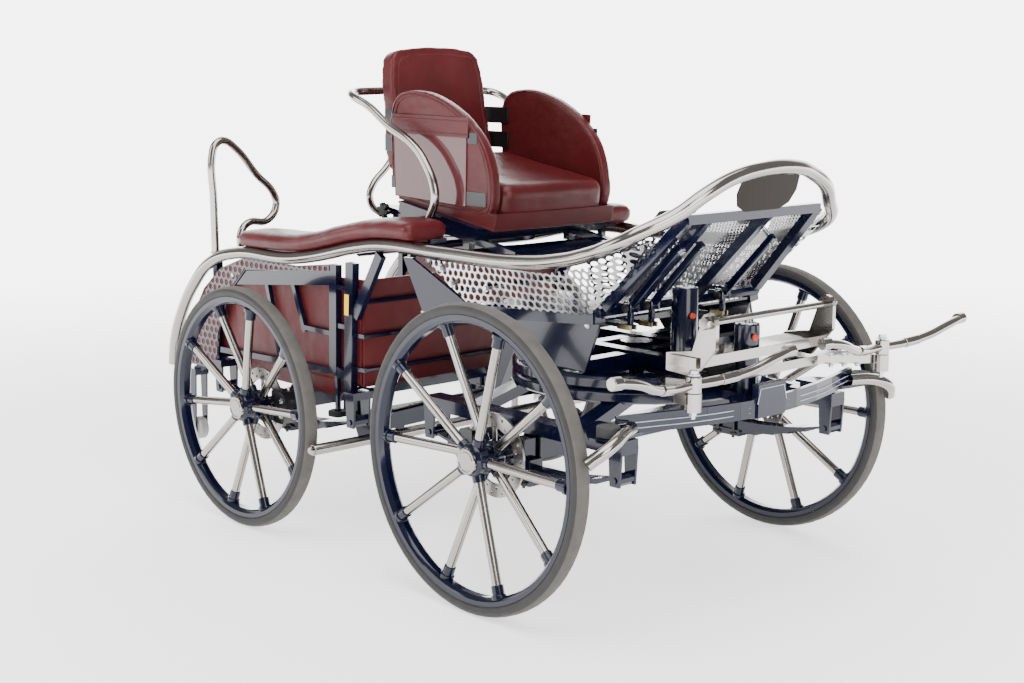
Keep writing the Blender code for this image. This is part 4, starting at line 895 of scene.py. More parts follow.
@dataclass
class Wheel:
    """One wheel with its tyre, spokes, hub and drilled disc."""

    name: str
    body: str
    x: float
    radius: float
    face: float
    side: int
    turn: float
    tyre_width: float = 0.050
    tyre_depth: float = 0.030
    rim_width: float = 0.042
    rim_depth: float = 0.022
    spokes: int = 10
    hub_radius: float = 0.043
    hub_length: float = 0.098
    rows: tuple[float, float] = (0.034, 0.076)
    spoke_radius: float = 0.0125
    socket_radius: float = 0.0160
    foot_radius: float = 0.0195
    collar_radius: float = 0.0165
    drills: int = 30
    drill_radius: float = 0.0042
    drill_rows: tuple[float, float] = (0.099, 0.084)
    arms: int = 5
    disc_inner: float = 0.074
    disc_outer: float = 0.110
    disc_half: float = 0.003

    @staticmethod
    def ray(angle_deg: float) -> Vector:
        """A unit vector in the wheel's plane."""
        angle = math.radians(angle_deg)
        return Vector((math.cos(angle), 0.0, math.sin(angle)))

    @staticmethod
    def band(inner: float, outer: float, half: float) -> list[tuple[float, float]]:
        """The profile of a flat ring."""
        return [(inner, -half), (outer, -half), (outer, half), (inner, half)]

    def depth(self, inward: float) -> float:
        """The y of a depth inwards from the wheel's outer face."""
        return (self.face - inward) * self.side

    def centre(self, y: float = 0.0) -> Vector:
        """A point on the wheel's axis."""
        return at(self.x, y, self.radius)

    def tyre(self) -> None:
        """The rounded solid tyre and the worn band round its middle."""
        half = self.tyre_width / 2
        seat = self.radius - self.tyre_depth
        shoulder = self.radius - 0.0065
        profile = [
            (seat + 0.0004, -half * 0.80), (seat + 0.004, -half * 0.93),
            (seat + 0.014, -half * 0.985), (self.radius - 0.014, -half * 0.965),
            (shoulder, -half * 0.84), (self.radius - 0.0022, -half * 0.62),
        ]
        crown = [(self.radius - 0.0006, -half * 0.36), (self.radius, 0.0)]
        left = [(r, -h) for r, h in reversed(profile)]
        loop = profile + crown + [(crown[0][0], -crown[0][1])] + left
        middle = self.centre(self.depth(half))
        body = turned(f"tyre_{self.name}_skin", loop, middle, LEFTWARD, 72)
        RUBBER.dress(body)
        body.data.materials.append(TREAD_BAND.material())
        for face in body.data.polygons:
            spot = face.center - middle
            reach = math.hypot(spot.x, spot.z)
            if reach > shoulder:
                face.material_index = 1
        Piece.give(body, self.body, None, f"tyre_{self.name}", slot=Slot.TYRE)

    def rim(self) -> Any:
        """The navy channel rim.

        Returns:
            The object.
        """
        top = self.radius - self.tyre_depth - 0.0003
        floor = top - self.rim_depth
        half = self.rim_width / 2
        profile = [
            (floor, -half * 0.45), (floor + 0.005, -half * 0.80), (floor + 0.010, -half * 0.97),
            (top, -half), (top, half), (floor + 0.010, half * 0.97),
            (floor + 0.005, half * 0.80), (floor, half * 0.45),
        ]
        place = self.centre(self.depth(self.tyre_width / 2))
        return turned(f"rim_{self.name}", profile, place, LEFTWARD, 72)

    def spoke_line(self, index: int) -> tuple[Vector, Vector]:
        """A spoke's two ends.

        Args:
            index: which spoke.

        Returns:
            The end in the hub and the end at the rim.
        """
        outer = index % 2 == 0
        ray = self.ray(self.turn + 360.0 * index / self.spokes)
        tip_y = self.depth(self.tyre_width / 2) + (self.side if outer else -self.side) * 0.006
        row = self.depth(self.rows[0 if outer else 1])
        root = self.centre(row) + ray * (self.hub_radius - 0.010)
        floor = self.radius - self.tyre_depth - self.rim_depth
        tip = self.centre(tip_y) + ray * (floor + 0.004)
        return root, tip

    def build(self) -> None:
        """Builds the wheel and its disc."""
        self.tyre()
        sockets = [self.rim()]
        bright = []
        for index in range(self.spokes):
            root, tip = self.spoke_line(index)
            way = (tip - root).normalized()
            bright.append(rod("spoke", root, tip - way * 0.010, self.spoke_radius, 20))
            for name, start, end, radius, edge in (
                ("socket", tip - way * 0.034, tip, self.socket_radius, 0.0012),
                ("foot", tip - way * 0.010, tip + way * 0.002, self.foot_radius, 0.0015),
                ("collar", root + way * 0.002, root + way * 0.026, self.collar_radius, 0.0012),
            ):
                sockets.append(rod(name, start, end, radius, 20, edge))
        barrel, cap = self.hub()
        sockets.append(barrel)
        bright.append(cap)
        assembled(f"wheel_{self.name}_rim", sockets, self.body, NAVY)
        assembled(
            f"wheel_{self.name}_spokes", bright, self.body, STAINLESS, f"wheel_{self.name}"
        )
        self.disc()

    def hub(self) -> tuple[Any, Any]:
        """The painted hub barrel and its bare round cap, both turned.

        Returns:
            The barrel and the cap.
        """
        radius = self.hub_radius
        place = self.centre(self.depth(0.0))
        barrel = [
            (0.0, 0.0100), (radius - 0.008, 0.0110), (radius - 0.003, 0.0150), (radius, 0.0200),
            (radius, 0.0480), (radius - 0.004, 0.0530), (radius - 0.004, 0.0590),
            (radius, 0.0640), (radius, self.hub_length - 0.002),
            (radius - 0.004, self.hub_length), (0.0, self.hub_length),
        ]
        cap = [
            (0.0, 0.0022), (0.0225, 0.0022), (0.0240, 0.0036), (0.0262, 0.0036),
            (0.0280, 0.0018), (0.0315, 0.0018), (0.0335, 0.0036), (0.0335, 0.0104),
            (0.0, 0.0104),
        ]
        axis = (0, -self.side, 0)
        return (
            turned("barrel", barrel, place, axis, 48, closed=False),
            turned("cap", cap, place, axis, 48, closed=False),
        )

    def disc(self) -> None:
        """The drilled disc on its five arms, with the bolts that hold it."""
        y = self.depth(self.hub_length + 0.0003 + 0.003)
        middle = self.centre(y)
        flat = self.band(self.disc_inner, self.disc_outer, self.disc_half)
        ring = turned(f"disc_{self.name}", flat, middle, LEFTWARD, 60)
        drills = []
        through = LEFTWARD * 0.010
        for index in range(self.drills):
            reach = self.drill_rows[index % 2]
            spot = middle + self.ray(360 * index / self.drills) * reach
            drills.append(rod("drill", spot - through, spot + through, self.drill_radius, 10))
        drill = joined("drills", drills)
        applied(ring, "BOOLEAN", operation="DIFFERENCE", object=drill, solver="EXACT")
        bpy.data.objects.remove(drill)
        parts = [ring, turned("boss", self.band(0.0192, 0.037, 0.0028), middle, LEFTWARD, 40)]
        for index in range(self.arms):
            ray = self.ray(90 + 360 * index / self.arms)
            turn = Matrix((ray, LEFTWARD, ray.cross(LEFTWARD))).transposed()
            parts.append(block("arm", (0.048, 0.0034, 0.015), middle + ray * 0.056, turn, 0.0008))
            face = middle + ray * 0.080 + Vector((0, self.side * 0.0030, 0))
            parts.append(bolt("disc_bolt", face, (0, self.side, 0), 0.0055, False))
        node = f"brake_disc_{self.name}"
        assembled(f"disc_{self.name}_drilled", parts, self.body, BRUSHED, node, sharp_deg=30.0)


# Bent tubes


@dataclass
class Tubework:
    """The polished tubes: side rail, grab handles, the hoop round the seat and the step bar."""

    rail_radius: float = 0.019
    handle_radius: float = 0.0125
    hoop_radius: float = 0.0120
    step_radius: float = 0.016
    step_half: float = 0.620
    handle_x: float = -1.440
    rail_half: tuple[Point, ...] = (
        (-1.718, 0.430, 0.384), (-1.704, 0.430, 0.468), (-1.649, 0.430, 0.579),
        (-1.577, 0.430, 0.667), (-1.480, 0.430, 0.746), (-1.323, 0.430, 0.793),
        (-1.036, 0.428, 0.803), (-0.901, 0.426, 0.822), (-0.697, 0.424, 0.865),
        (-0.588, 0.422, 0.880), (-0.338, 0.420, 0.880), (-0.010, 0.420, 0.885),
        (0.120, 0.420, 0.901), (0.213, 0.418, 0.923), (0.302, 0.410, 0.955),
        (0.352, 0.380, 0.984), (0.404, 0.300, 1.029), (0.435, 0.240, 1.074),
        (0.451, 0.160, 1.110), (0.469, 0.070, 1.130),
    )
    handle_line: tuple[tuple[float, float], ...] = (
        (0.430, 0.7805), (0.431, 0.950), (0.431, 1.100), (0.418, 1.128), (0.390, 1.139),
        (0.344, 1.113), (0.267, 1.026), (0.205, 0.965), (0.194, 0.920), (0.230, 0.875),
        (0.301, 0.872), (0.330, 0.846), (0.336, 0.7865),
    )
    hoop_half: tuple[Point, ...] = (
        (-0.541, 0.2859, 0.9480), (-0.516, 0.2859, 1.0050), (-0.521, 0.2859, 1.0440),
        (-0.551, 0.2859, 1.0960), (-0.604, 0.2859, 1.1480), (-0.731, 0.2859, 1.2090),
        (-0.820, 0.2859, 1.2600), (-0.896, 0.2859, 1.2900), (-0.920, 0.2620, 1.2970),
        (-0.924, 0.2000, 1.3000), (-0.924, 0.0800, 1.3010),
    )

    @staticmethod
    def both_sides(half: Sequence[Point]) -> list[Vector]:
        """A line down the near side and back up the far side.

        Args:
            half: the near side's points from the back, with y to the outside.

        Returns:
            Both sides' points.
        """
        near = [at(x, -y, z) for x, y, z in half]
        far = [at(x, y, z) for x, y, z in reversed(half)]
        return near + far

    def rail(self) -> None:
        """The one rail that runs down both sides and arches over the dash."""
        made = tube("side_rail_tube", self.both_sides(self.rail_half), self.rail_radius, fine=8)
        Piece.give(made, "chassis", STAINLESS, "side_rail")

    def handles(self) -> None:
        """The two grab handles at the back, each on its welded foot rings."""
        for side, sign in SIDES:
            line = [at(self.handle_x, sign * y, z) for y, z in self.handle_line]
            bent = tube("bent", line, self.handle_radius, fine=8)
            feet = []
            for end, nearby in ((line[0], line[1]), (line[-1], line[-2])):
                way = (nearby - end).normalized()
                feet.append(rod("foot", end + way * 0.001, end + way * 0.007, 0.0165, 24, 0.0015))
            node = f"grab_handle_{side}"
            assembled(f"{node}_tube", [bent, *feet], "chassis", STAINLESS, node)

    def hoop(self) -> None:
        """The hoop that is bent round both wings and the back rest."""
        made = tube("seat_hoop_tube", self.both_sides(self.hoop_half), self.hoop_radius, fine=8)
        Piece.give(made, "seat", STAINLESS, "seat_hoop")

    def step(self) -> None:
        """The step bar with a rounded plug in each end."""
        low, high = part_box("step_bar")
        middle = (Vector(low) + Vector(high)) / 2
        end = self.step_half - 0.012
        half = [(0.0, end + 0.0118), (0.009, end + 0.011), (0.0125, end + 0.008), (0.013, end)]
        half += [(self.step_radius - 0.001, end), (self.step_radius, end - 0.002)]
        profile = half + [(r, -h) for r, h in reversed(half)]
        made = turned("step_bar_tube", profile, middle, LEFTWARD, 32, closed=False)
        Piece.give(made, "chassis", STAINLESS, "step_bar")

    def build(self) -> None:
        """Builds the four kinds of tube."""
        self.rail()
        self.handles()
        self.hoop()
        self.step()


# The frame that stays as the CAD gives it


@dataclass
class KeptNodes:
    """Finishes for the nodes whose shapes are kept; calipers are black and the rest navy."""

    finishes: dict[str, Finish] = field(
        default_factory=lambda: {
            "rear_floor": BRUSHED,
            "tread_plate": TREAD_PLATE,
            "footboard": FOOT_SHEET,
            "mirror_plate": MIRROR_PAINTED_REFLECTION,
            "side_panel_right": SIDE_SHEET,
            "side_panel_left": SIDE_SHEET,
            "rear_lining": LINING,
            "evener": STAINLESS,
            "pole_bracket": STAINLESS,
            "seat_lock_knob": PLASTIC,
        }
    )

    def dress(self, frame: dict[str, Any]) -> None:
        """Gives each kept node its finish.

        Args:
            frame: the loaded frame.
        """
        for name, node in frame["nodes"].items():
            plain = BLACK if name.startswith("brake_caliper") else NAVY
            made = self.finishes.get(name, plain).material()
            for slot in node.material_slots:
                slot.material = made
        log.info("%d frame nodes dressed", len(frame["nodes"]))


# Camera, light and floor


@dataclass
class Studio:
    """The camera solved from the photograph, soft lamps and the white floor."""

    place: Point = (2.9134, -3.1538, 1.3818)
    yaw_deg: float = -47.3
    pitch_deg: float = -9.94
    roll_deg: float = 0.18
    lens: float = 55.69
    sensor: float = 36.0
    lamps: tuple[tuple[Point, float, float], ...] = (
        ((1.2, -1.4, 5.2), 4.5, 330.0),
        ((5.0, -1.5, 2.6), 2.6, 130.0),
        ((-2.4, -4.6, 2.8), 3.0, 120.0),
        ((-3.6, 3.8, 3.2), 3.0, 90.0),
    )
    lamp_aim_z: float = 0.6
    floor_side: float = 60.0
    floor_z: float = -0.0005
    backdrop: float = 6.0
    room: float = 0.36
    fade: tuple[float, float] = (0.55, 0.86)

    def camera(self) -> None:
        """Sets the camera up."""
        bpy.ops.object.camera_add(location=at(*self.place))
        camera = active()
        yaw, pitch = math.radians(self.yaw_deg), math.radians(self.pitch_deg)
        level = Vector((math.sin(yaw), math.cos(yaw), 0.0))
        forward = level * math.cos(pitch) + Vector((0.0, 0.0, math.sin(pitch)))
        right = forward.cross(UPWARD).normalized()
        up = right.cross(forward)
        turn = Matrix.Rotation(math.radians(-self.roll_deg), 3, forward)
        right, up = turn @ right, turn @ up
        camera.rotation_euler = Matrix((right, up, -forward)).transposed().to_euler()
        camera.data.lens = self.lens
        camera.data.sensor_width = self.sensor
        camera.data.clip_end = 60.0
        bpy.context.scene.camera = camera

    def lamp(self, place: Point, size: float, power: float) -> None:
        """Adds one soft lamp that faces the carriage.

        Args:
            place: where it hangs.
            size: its side.
            power: its power.
        """
        bpy.ops.object.light_add(type="AREA", location=place)
        lamp = active()
        lamp.data.shape = "SQUARE"
        lamp.data.size = size
        lamp.data.energy = power
        aim = Vector((0.0, 0.0, self.lamp_aim_z)) - Vector(place)
        lamp.rotation_euler = aim.to_track_quat("-Z", "Y").to_euler()

    def floor(self) -> None:
        """The wide white floor."""
        bpy.ops.mesh.primitive_plane_add(size=self.floor_side, location=(0.0, 0.0, self.floor_z))
        floor = active()
        floor.name = "floor"
        FLOOR.dress(floor)

    def build(self) -> None:
        """Sets up the whole studio."""
        self.camera()
        self.floor()
        for lamp in self.lamps:
            self.lamp(*lamp)
        self.sky()

    def sky(self) -> None:
        """A white backdrop behind the carriage and a dimmer room before and above it."""
        world = bpy.data.worlds.new("studio_light")
        bpy.context.scene.world = world
        world.use_nodes = True
        nodes, links = world.node_tree.nodes, world.node_tree.links
        backdrop = nodes["Background"]
        backdrop.inputs["Strength"].default_value = self.backdrop
        room = nodes.new("ShaderNodeBackground")
        room.inputs["Strength"].default_value = self.room
        for light in (backdrop, room):
            light.inputs["Color"].default_value = (1.0, 1.0, 1.0, 1.0)
        way = nodes.new("ShaderNodeTexCoord")
        turn = nodes.new("ShaderNodeVectorMath")
        turn.operation = "DOT_PRODUCT"
        yaw = math.radians(self.yaw_deg)
        turn.inputs[1].default_value = (math.sin(yaw), math.cos(yaw), 0.0)
        span = nodes.new("ShaderNodeMapRange")
        span.inputs["From Min"].default_value = self.fade[0]
        span.inputs["From Max"].default_value = self.fade[1]
        mixed = nodes.new("ShaderNodeMixShader")
        links.new(way.outputs["Generated"], turn.inputs[0])
        links.new(turn.outputs["Value"], span.inputs["Value"])
        links.new(span.outputs["Result"], mixed.inputs["Fac"])
        links.new(room.outputs["Background"], mixed.inputs[1])
        links.new(backdrop.outputs["Background"], mixed.inputs[2])
        links.new(mixed.outputs["Shader"], nodes["World Output"].inputs["Surface"])


# Upholstery


def swept(
    name: str, points: Sequence[Vector], section: Sequence[tuple[float, float]], ends: float
) -> Any:
    """A section swept along a line, drawn in towards both ends.

    Args:
        name: its name.
        points: the line.
        section: the closed section, across and up.
        ends: the share of the section that is left at each end.

    Returns:
        The object.
    """
    profile = path_curve([Vector((u, v, 0.0)) for u, v in section], True, True)
    profile.data.resolution_u = 4
    taper = path_curve(
        [Vector(place) for place in ((0, ends, 0), (0.012, 0.93, 0), (0.04, 1, 0), (0.5, 1, 0))]
        + [Vector(place) for place in ((0.96, 1, 0), (0.988, 0.93, 0), (1, ends, 0))],
        True,
    )
    made = path_curve(points, True)
    made.data.twist_mode = "Z_UP"
    made.data.resolution_u = 16
    made.data.bevel_mode = "OBJECT"
    made.data.bevel_object = profile
    made.data.taper_object = taper
    made.data.use_fill_caps = True
    made = meshed(made)
    for helper in (profile, taper):
        bpy.data.objects.remove(helper)
    made.name = name
    outward(made)
    return settled(made, 55.0)


def stuffed(obj: Any, finish: Finish, body: str, fill: float, *nodes: str) -> None:
    """Hands over a cushion: soft edges and slight dents in its cover.

    Args:
        obj: the cushion's plain form.
        finish: its cover.
        body: the body it rides on.
        fill: how tight it is; not used.
        nodes: the CAD nodes that it replaces.
    """
    applied(obj, "REMESH", mode="VOXEL", voxel_size=0.006)
    applied(obj, "SMOOTH", factor=0.5, iterations=10)
    dented(obj, f"{obj.name}_dents", 0.09, 0.0045)
    applied(obj, "SUBSURF", levels=1, render_levels=1)
    outward(obj)
    settled(obj, 60.0)
    Piece.give(obj, body, finish, *nodes)


@dataclass
class LongPad:
    """One long side cushion: a crowned bolster with piping along both edges."""

    side: str
    sign: int
    width: float = 0.150
    height: float = 0.050
    middle: float = 0.375
    edge: float = 0.012
    line: tuple[tuple[float, float], ...] = (
        (-1.290, 0.820), (-1.165, 0.8225), (-1.040, 0.826), (-0.900, 0.844), (-0.700, 0.888),
        (-0.590, 0.903), (-0.515, 0.905), (-0.440, 0.905),
    )

    def section(self) -> list[tuple[float, float]]:
        """The bolster's section round the middle of its underside.

        Returns:
            The section's points.
        """
        half, top = self.width / 2, self.height
        right = [(half - self.edge, 0.0), (half, self.edge), (half - 0.001, top * 0.66)]
        right += [(half - self.edge, top * 0.90), (half * 0.5, top * 0.985)]
        left = [(-u, v) for u, v in reversed(right)]
        return right + [(0.0, top)] + left

    def along(self, across: float, up: float, inset: float = 0.0) -> list[Vector]:
        """A line along the pad.

        Args:
            across: how far out from the pad's middle.
            up: how far above its underside.
            inset: how far it stops short of both ends.

        Returns:
            The line's points.
        """
        y = self.sign * (self.middle + across)
        shares = [(x, z) for x, z in self.line]
        shares[0] = (shares[0][0] + inset, shares[0][1])
        shares[-1] = (shares[-1][0] - inset, shares[-1][1])
        return [at(x, y, z + up) for x, z in shares]

    def build(self) -> None:
        """Builds the bolster and its piping."""
        made = swept(f"side_pad_{self.side}_cover", self.along(0.0, 0.0), self.section(), 0.80)
        stuffed(made, PAD_COVER, "chassis", 0.85, f"side_pad_{self.side}")
        seams = []
        for edge in (-1, 1):
            line = self.along(edge * (self.width / 2 - 0.0025), self.height * 0.60, 0.012)
            seams.append(tube("seam", line, 0.0032, fine=6))
        assembled(f"side_pad_{self.side}_piping", seams, "chassis", WELT, slot=Slot.PAD)


@dataclass
class DriverSeat:
    """The driver's seat: squab, back rest, two wings, seams, straps, skirt and the clear pouch."""

    tilt_deg: float = 9.0
    origin: tuple[float, float] = (-0.600, 0.9152)
    pan_top: float = 0.052
    wing_inner: float = 0.2010
    wing_outer: float = 0.2360
    pouch_middle: tuple[float, float] = (-0.595, 1.100)
    seam_radius: float = 0.0015
    back_foot: Point = (-0.8230, 0.0, 1.066)
    back_lean: Point = (-0.052, 0.0, 0.335)
    back_depth: float = 0.056
    back_heart: float = 0.178
    border: float = 0.88
    wing: tuple[tuple[float, float], ...] = (
        (-0.752, 1.0050), (-0.690, 0.9900), (-0.400, 0.9670), (-0.346, 0.9680), (-0.332, 0.9950),
        (-0.331, 1.0500), (-0.345, 1.1100), (-0.374, 1.1650), (-0.425, 1.2150), (-0.490, 1.2580),
        (-0.565, 1.2890), (-0.640, 1.3050), (-0.705, 1.3040), (-0.756, 1.2850), (-0.780, 1.2400),
        (-0.780, 1.1600),
    )
    back: tuple[tuple[float, float], ...] = (
        (0.160, 0.000), (0.186, 0.008), (0.192, 0.040), (0.184, 0.180), (0.174, 0.310),
        (0.158, 0.348), (0.120, 0.359),
    )

    def tilted(self, x: float, y: float, z: float) -> Vector:
        """A place given from the seat's slide, in its tilted frame.

        Args:
            x: how far ahead.
            y: how far to the left.
            z: how far up.

        Returns:
            The place.
        """
        tilt = math.radians(self.tilt_deg)
        along, down = math.cos(tilt), math.sin(tilt)
        return at(self.origin[0] + x * along + z * down, y, self.origin[1] - x * down + z * along)

    def squab(self) -> None:
        """The thick seat cushion, crowned and rounded at its front."""
        turn = Matrix.Rotation(math.radians(self.tilt_deg), 3, "Y")
        centre = self.tilted(0.040, 0.0, self.pan_top + 0.0650)
        made = block("seat_squab", (0.448, 0.396, 0.122), centre, turn, 0.0)
        applied(made, "BEVEL", width=0.034, segments=6)
        stuffed(made, LEATHER, "seat", 0.9, "seat_cushion")

    def wings(self) -> None:
        """Both padded wings, with a seam near the outline of each face."""
        middle = (self.wing_inner + self.wing_outer) / 2
        thickness = self.wing_outer - self.wing_inner
        count = len(self.wing)
        heart = (sum(x for x, _ in self.wing) / count, sum(z for _, z in self.wing) / count)
        for side, sign in SIDES:
            plane = upright(at(0.0, sign * middle, 0.0))
            made = flat_sheet(f"seat_wing_{side}_cover", self.wing, thickness, plane, smooth=True)
            applied(made, "BEVEL", width=0.011, segments=4, limit_method="ANGLE")
            stuffed(made, LEATHER, "seat", 0.8, f"seat_wing_{side}")
            seams = []
            for share, depth in ((0.955, 0.50), (0.955, -0.50), (0.900, 0.51)):
                y = sign * (middle + thickness * depth)
                line = []
                for x, z in self.wing:
                    across = heart[0] + (x - heart[0]) * share
                    up = heart[1] + (z - heart[1]) * share
                    line.append(at(across, y, up))
                seams.append(tube("seam", line, self.seam_radius, closed=True, fine=5))
            assembled(f"seat_wing_{side}_welt", seams, "seat", WELT)

    def back_rest(self) -> None:
        """The back rest that leans with the hoop, and the border seam on both faces."""
        lean = Vector(self.back_lean).normalized()
        foot = at(*self.back_foot)
        outline = [(y, z) for y, z in self.back] + [(-y, z) for y, z in reversed(self.back)]
        plane = plane_frame(foot, LEFTWARD, lean)
        made = flat_sheet("seat_back_cover", outline, self.back_depth, plane, smooth=True)
        applied(made, "BEVEL", width=0.018, segments=4, limit_method="ANGLE")
        stuffed(made, LEATHER, "seat", 0.85, "seat_back")
        normal = lean.cross(LEFTWARD).normalized()
        seams = []
        for face in (-1, 1):
            line = []
            for y, z in outline:
                rise = lean * (self.back_heart + (z - self.back_heart) * self.border)
                place = foot + LEFTWARD * y * self.border + rise
                line.append(place + normal * face * 0.0278)
            seams.append(tube("seam", line, 0.0016, closed=True, fine=5))
        assembled("seat_back_welt", seams, "seat", WELT)

    def pouch(self) -> None:
        """The pouch on each wing: a red flap over a clear window, with a bound edge."""
        for side, sign in SIDES:
            y = sign * (self.wing_outer + 0.0022)
            x, z = self.pouch_middle
            plane = upright(at(x, y, z))
            window = [(-0.158, -0.100), (0.156, -0.113), (0.160, 0.085), (-0.165, 0.090)]
            clear = flat_sheet(f"pouch_window_{side}", window, 0.0014, plane, 0.0004)
            Piece.give(clear, "seat", CLEAR)
            line = [plane @ Vector((u, v, 0.0)) for u, v in window]
            edge = tube("binding", line, 0.0020, smooth=False, closed=True)
            stitch = upright(at(x, y + sign * 0.0042, z))
            seams = [edge]
            for drop in (0.128, 0.092):
                ends = ((-0.166, drop, 0.0), (0.164, drop - 0.004, 0.0))
                line = [stitch @ Vector(end) for end in ends]
                seams.append(tube("seam", line, 0.0012, smooth=False, fine=5))
            assembled(f"pouch_binding_{side}", seams, "seat", WELT)
            band = [(-0.170, 0.083), (0.168, 0.078), (0.172, 0.134), (-0.168, 0.139)]
            flap_plane = upright(at(x, y + sign * 0.0020, z))
            flap = flat_sheet(f"pouch_flap_{side}", band, 0.0036, flap_plane, 0.0012)
            Piece.give(flap, "seat", LEATHER)

    def straps(self) -> None:
        """The black straps that hold the pouches and tie the wings to the back rest."""
        parts = []
        for sign in (-1, 1):
            y = sign * (self.wing_outer + 0.0008)
            for x, z, length, height in (
                (-0.412, 1.178, 0.040, 0.032),
                (-0.400, 1.010, 0.090, 0.040),
                (-0.762, 1.040, 0.022, 0.036),
            ):
                parts.append(block("strap", (length, 0.0030, height), at(x, y, z), edge=0.0006))
            for z in (1.150, 1.225):
                place = at(-0.795, sign * 0.1985, z)
                parts.append(block("tie", (0.110, 0.0040, 0.050), place, edge=0.0008))
        assembled("seat_straps", parts, "seat", BLACK)

    def skirt(self) -> None:
        """The skirt that hangs round the squab's foot, with its stitched hem."""
        turn = Matrix.Rotation(math.radians(self.tilt_deg), 3, "Y")
        centre = self.tilted(0.2690, 0.0, 0.0760)
        parts = [block("front", (0.0040, 0.466, 0.050), centre, turn, 0.0014)]
        for sign in (-1, 1):
            centre = self.tilted(0.0570, sign * 0.2330, 0.0750)
            parts.append(block("side", (0.4240, 0.0040, 0.048), centre, turn, 0.0014))
        assembled("seat_skirt", parts, "seat", LEATHER)
        back, front, half = -0.150, 0.2716, 0.2356
        corners = [(back, -half), (front, -half), (front, half), (back, half)]
        line = [self.tilted(x, y, 0.0560) for x, y in corners]
        hem = tube("seat_skirt_hem", line, 0.0012, smooth=False, fine=5)
        Piece.give(hem, "seat", WELT)

    def build(self) -> None:
        """Builds the seat's soft parts."""
        self.squab()
        self.wings()
        self.back_rest()
        self.pouch()
        self.straps()
        self.skirt()


# Draught gear


@dataclass
class DraughtGear:
    """The swingletrees, the pole pin and the clevis bolts of the evener."""

    pivot: tuple[float, float, float] = (0.534, 0.380, 0.644)
    radius: float = 0.0115
    half: float = 0.315
    pin: tuple[float, float, float] = (0.457, 0.766, 0.009)
    ear: float = 0.241
    route: tuple[Point, ...] = (
        (0.000, 0.000, 0.000), (0.090, 0.010, 0.002), (0.170, 0.030, 0.016),
        (0.235, 0.046, 0.038), (0.285, 0.046, 0.048), (0.315, 0.040, 0.050),
    )

    def swingletree(self, side: str, sign: int) -> None:
        """One double-curved tube with its socket, collars and trace ends.

        Args:
            side: its name.
            sign: -1 for the right, 1 for the left.
        """
        x, y, z = self.pivot[0], sign * self.pivot[1], self.pivot[2]
        left = [at(x + dx, y + reach, z + dz) for reach, dx, dz in self.route]
        right = [at(x + dx, y - reach, z + dz) for reach, dx, dz in reversed(self.route[1:])]
        parts = [tube("bent", right + left, self.radius, fine=8)]
        lug = at(x, y, z)
        parts.append(rod("socket", lug - UPWARD * 0.019, lug + UPWARD * 0.020, 0.019, 32, 0.002))
        for way in (-1, 1):
            start = at(x + 0.010, y + way * 0.090, z + 0.002)
            stop = at(x + 0.022, y + way * 0.135, z + 0.008)
            parts.append(rod("sleeve", start, stop, self.radius + 0.0016, 24, 0.001))
            tip = at(x + 0.040, y + way * self.half, z + 0.050)
            out = Vector((-0.001, way * 0.030, 0.001))
            start, stop = tip - out * 0.8, tip + out * 0.2
            parts.append(rod("end", start, stop, self.radius + 0.004, 24, 0.002))
        node, body = f"swingletree_{side}", f"{side}_swingletree"
        assembled(f"{node}_tube", parts, body, STAINLESS, node, sharp_deg=35.0)

    def pole_pin(self) -> None:
        """The long pin with its hexagon head, washer and chamfered tail."""
        x, z, radius = self.pin
        head, tail = self.ear + 0.0003, self.ear + 0.0243
        profile = [
            (0.0, -head - 0.004), (radius, -head - 0.004), (radius, tail),
            (radius * 0.6, tail + 0.006), (0.0, tail + 0.006),
        ]
        shank = turned("shank", profile, at(x, 0.0, z), LEFTWARD, 32, closed=False)
        start = at(x, -head - 0.020, z)
        hexagon = rod("head", start, at(x, -head - 0.003, z), 0.0168, 6, 0.0015)
        washer = rod("washer", at(x, -head - 0.003, z), at(x, -head, z), 0.0168, 28)
        parts = [shank, hexagon, washer]
        assembled("pole_pin_turned", parts, "draught_pin", STAINLESS, "pole_pin", sharp_deg=32.0)

    def lugs(self) -> None:
        """Nuts under and over the evener's lugs, and links behind the swingletrees."""
        parts = []
        for sign in (-1, 1):
            lug = at(self.pivot[0], sign * self.pivot[1], 0.580)
            drop = -UPWARD
            parts.append(bolt("nut", lug, drop, 0.010))
            parts.append(rod("end", lug + drop * 0.009, lug + drop * 0.018, 0.0055, 16, 0.001))
            parts.append(bolt("cap", at(self.pivot[0], sign * self.pivot[1], 0.668), UPWARD, 0.011))
            for share in (0.30, 0.55, 0.80):
                x = 0.430 + (0.505 - 0.430) * share
                y = sign * (0.230 + 0.130 * share)
                parts.append(bolt("bolt", at(x, y, 0.622), UPWARD, 0.0062))
                parts.append(bolt("nut", at(x, y, 0.598), drop, 0.0062))
        assembled("evener_bolts", parts, "evener_bar", PLATED, sharp_deg=32.0)

    def build(self) -> None:
        """Builds the gear that the horses pull."""
        for side in SIDES:
            self.swingletree(*side)
        self.pole_pin()
        self.lugs()


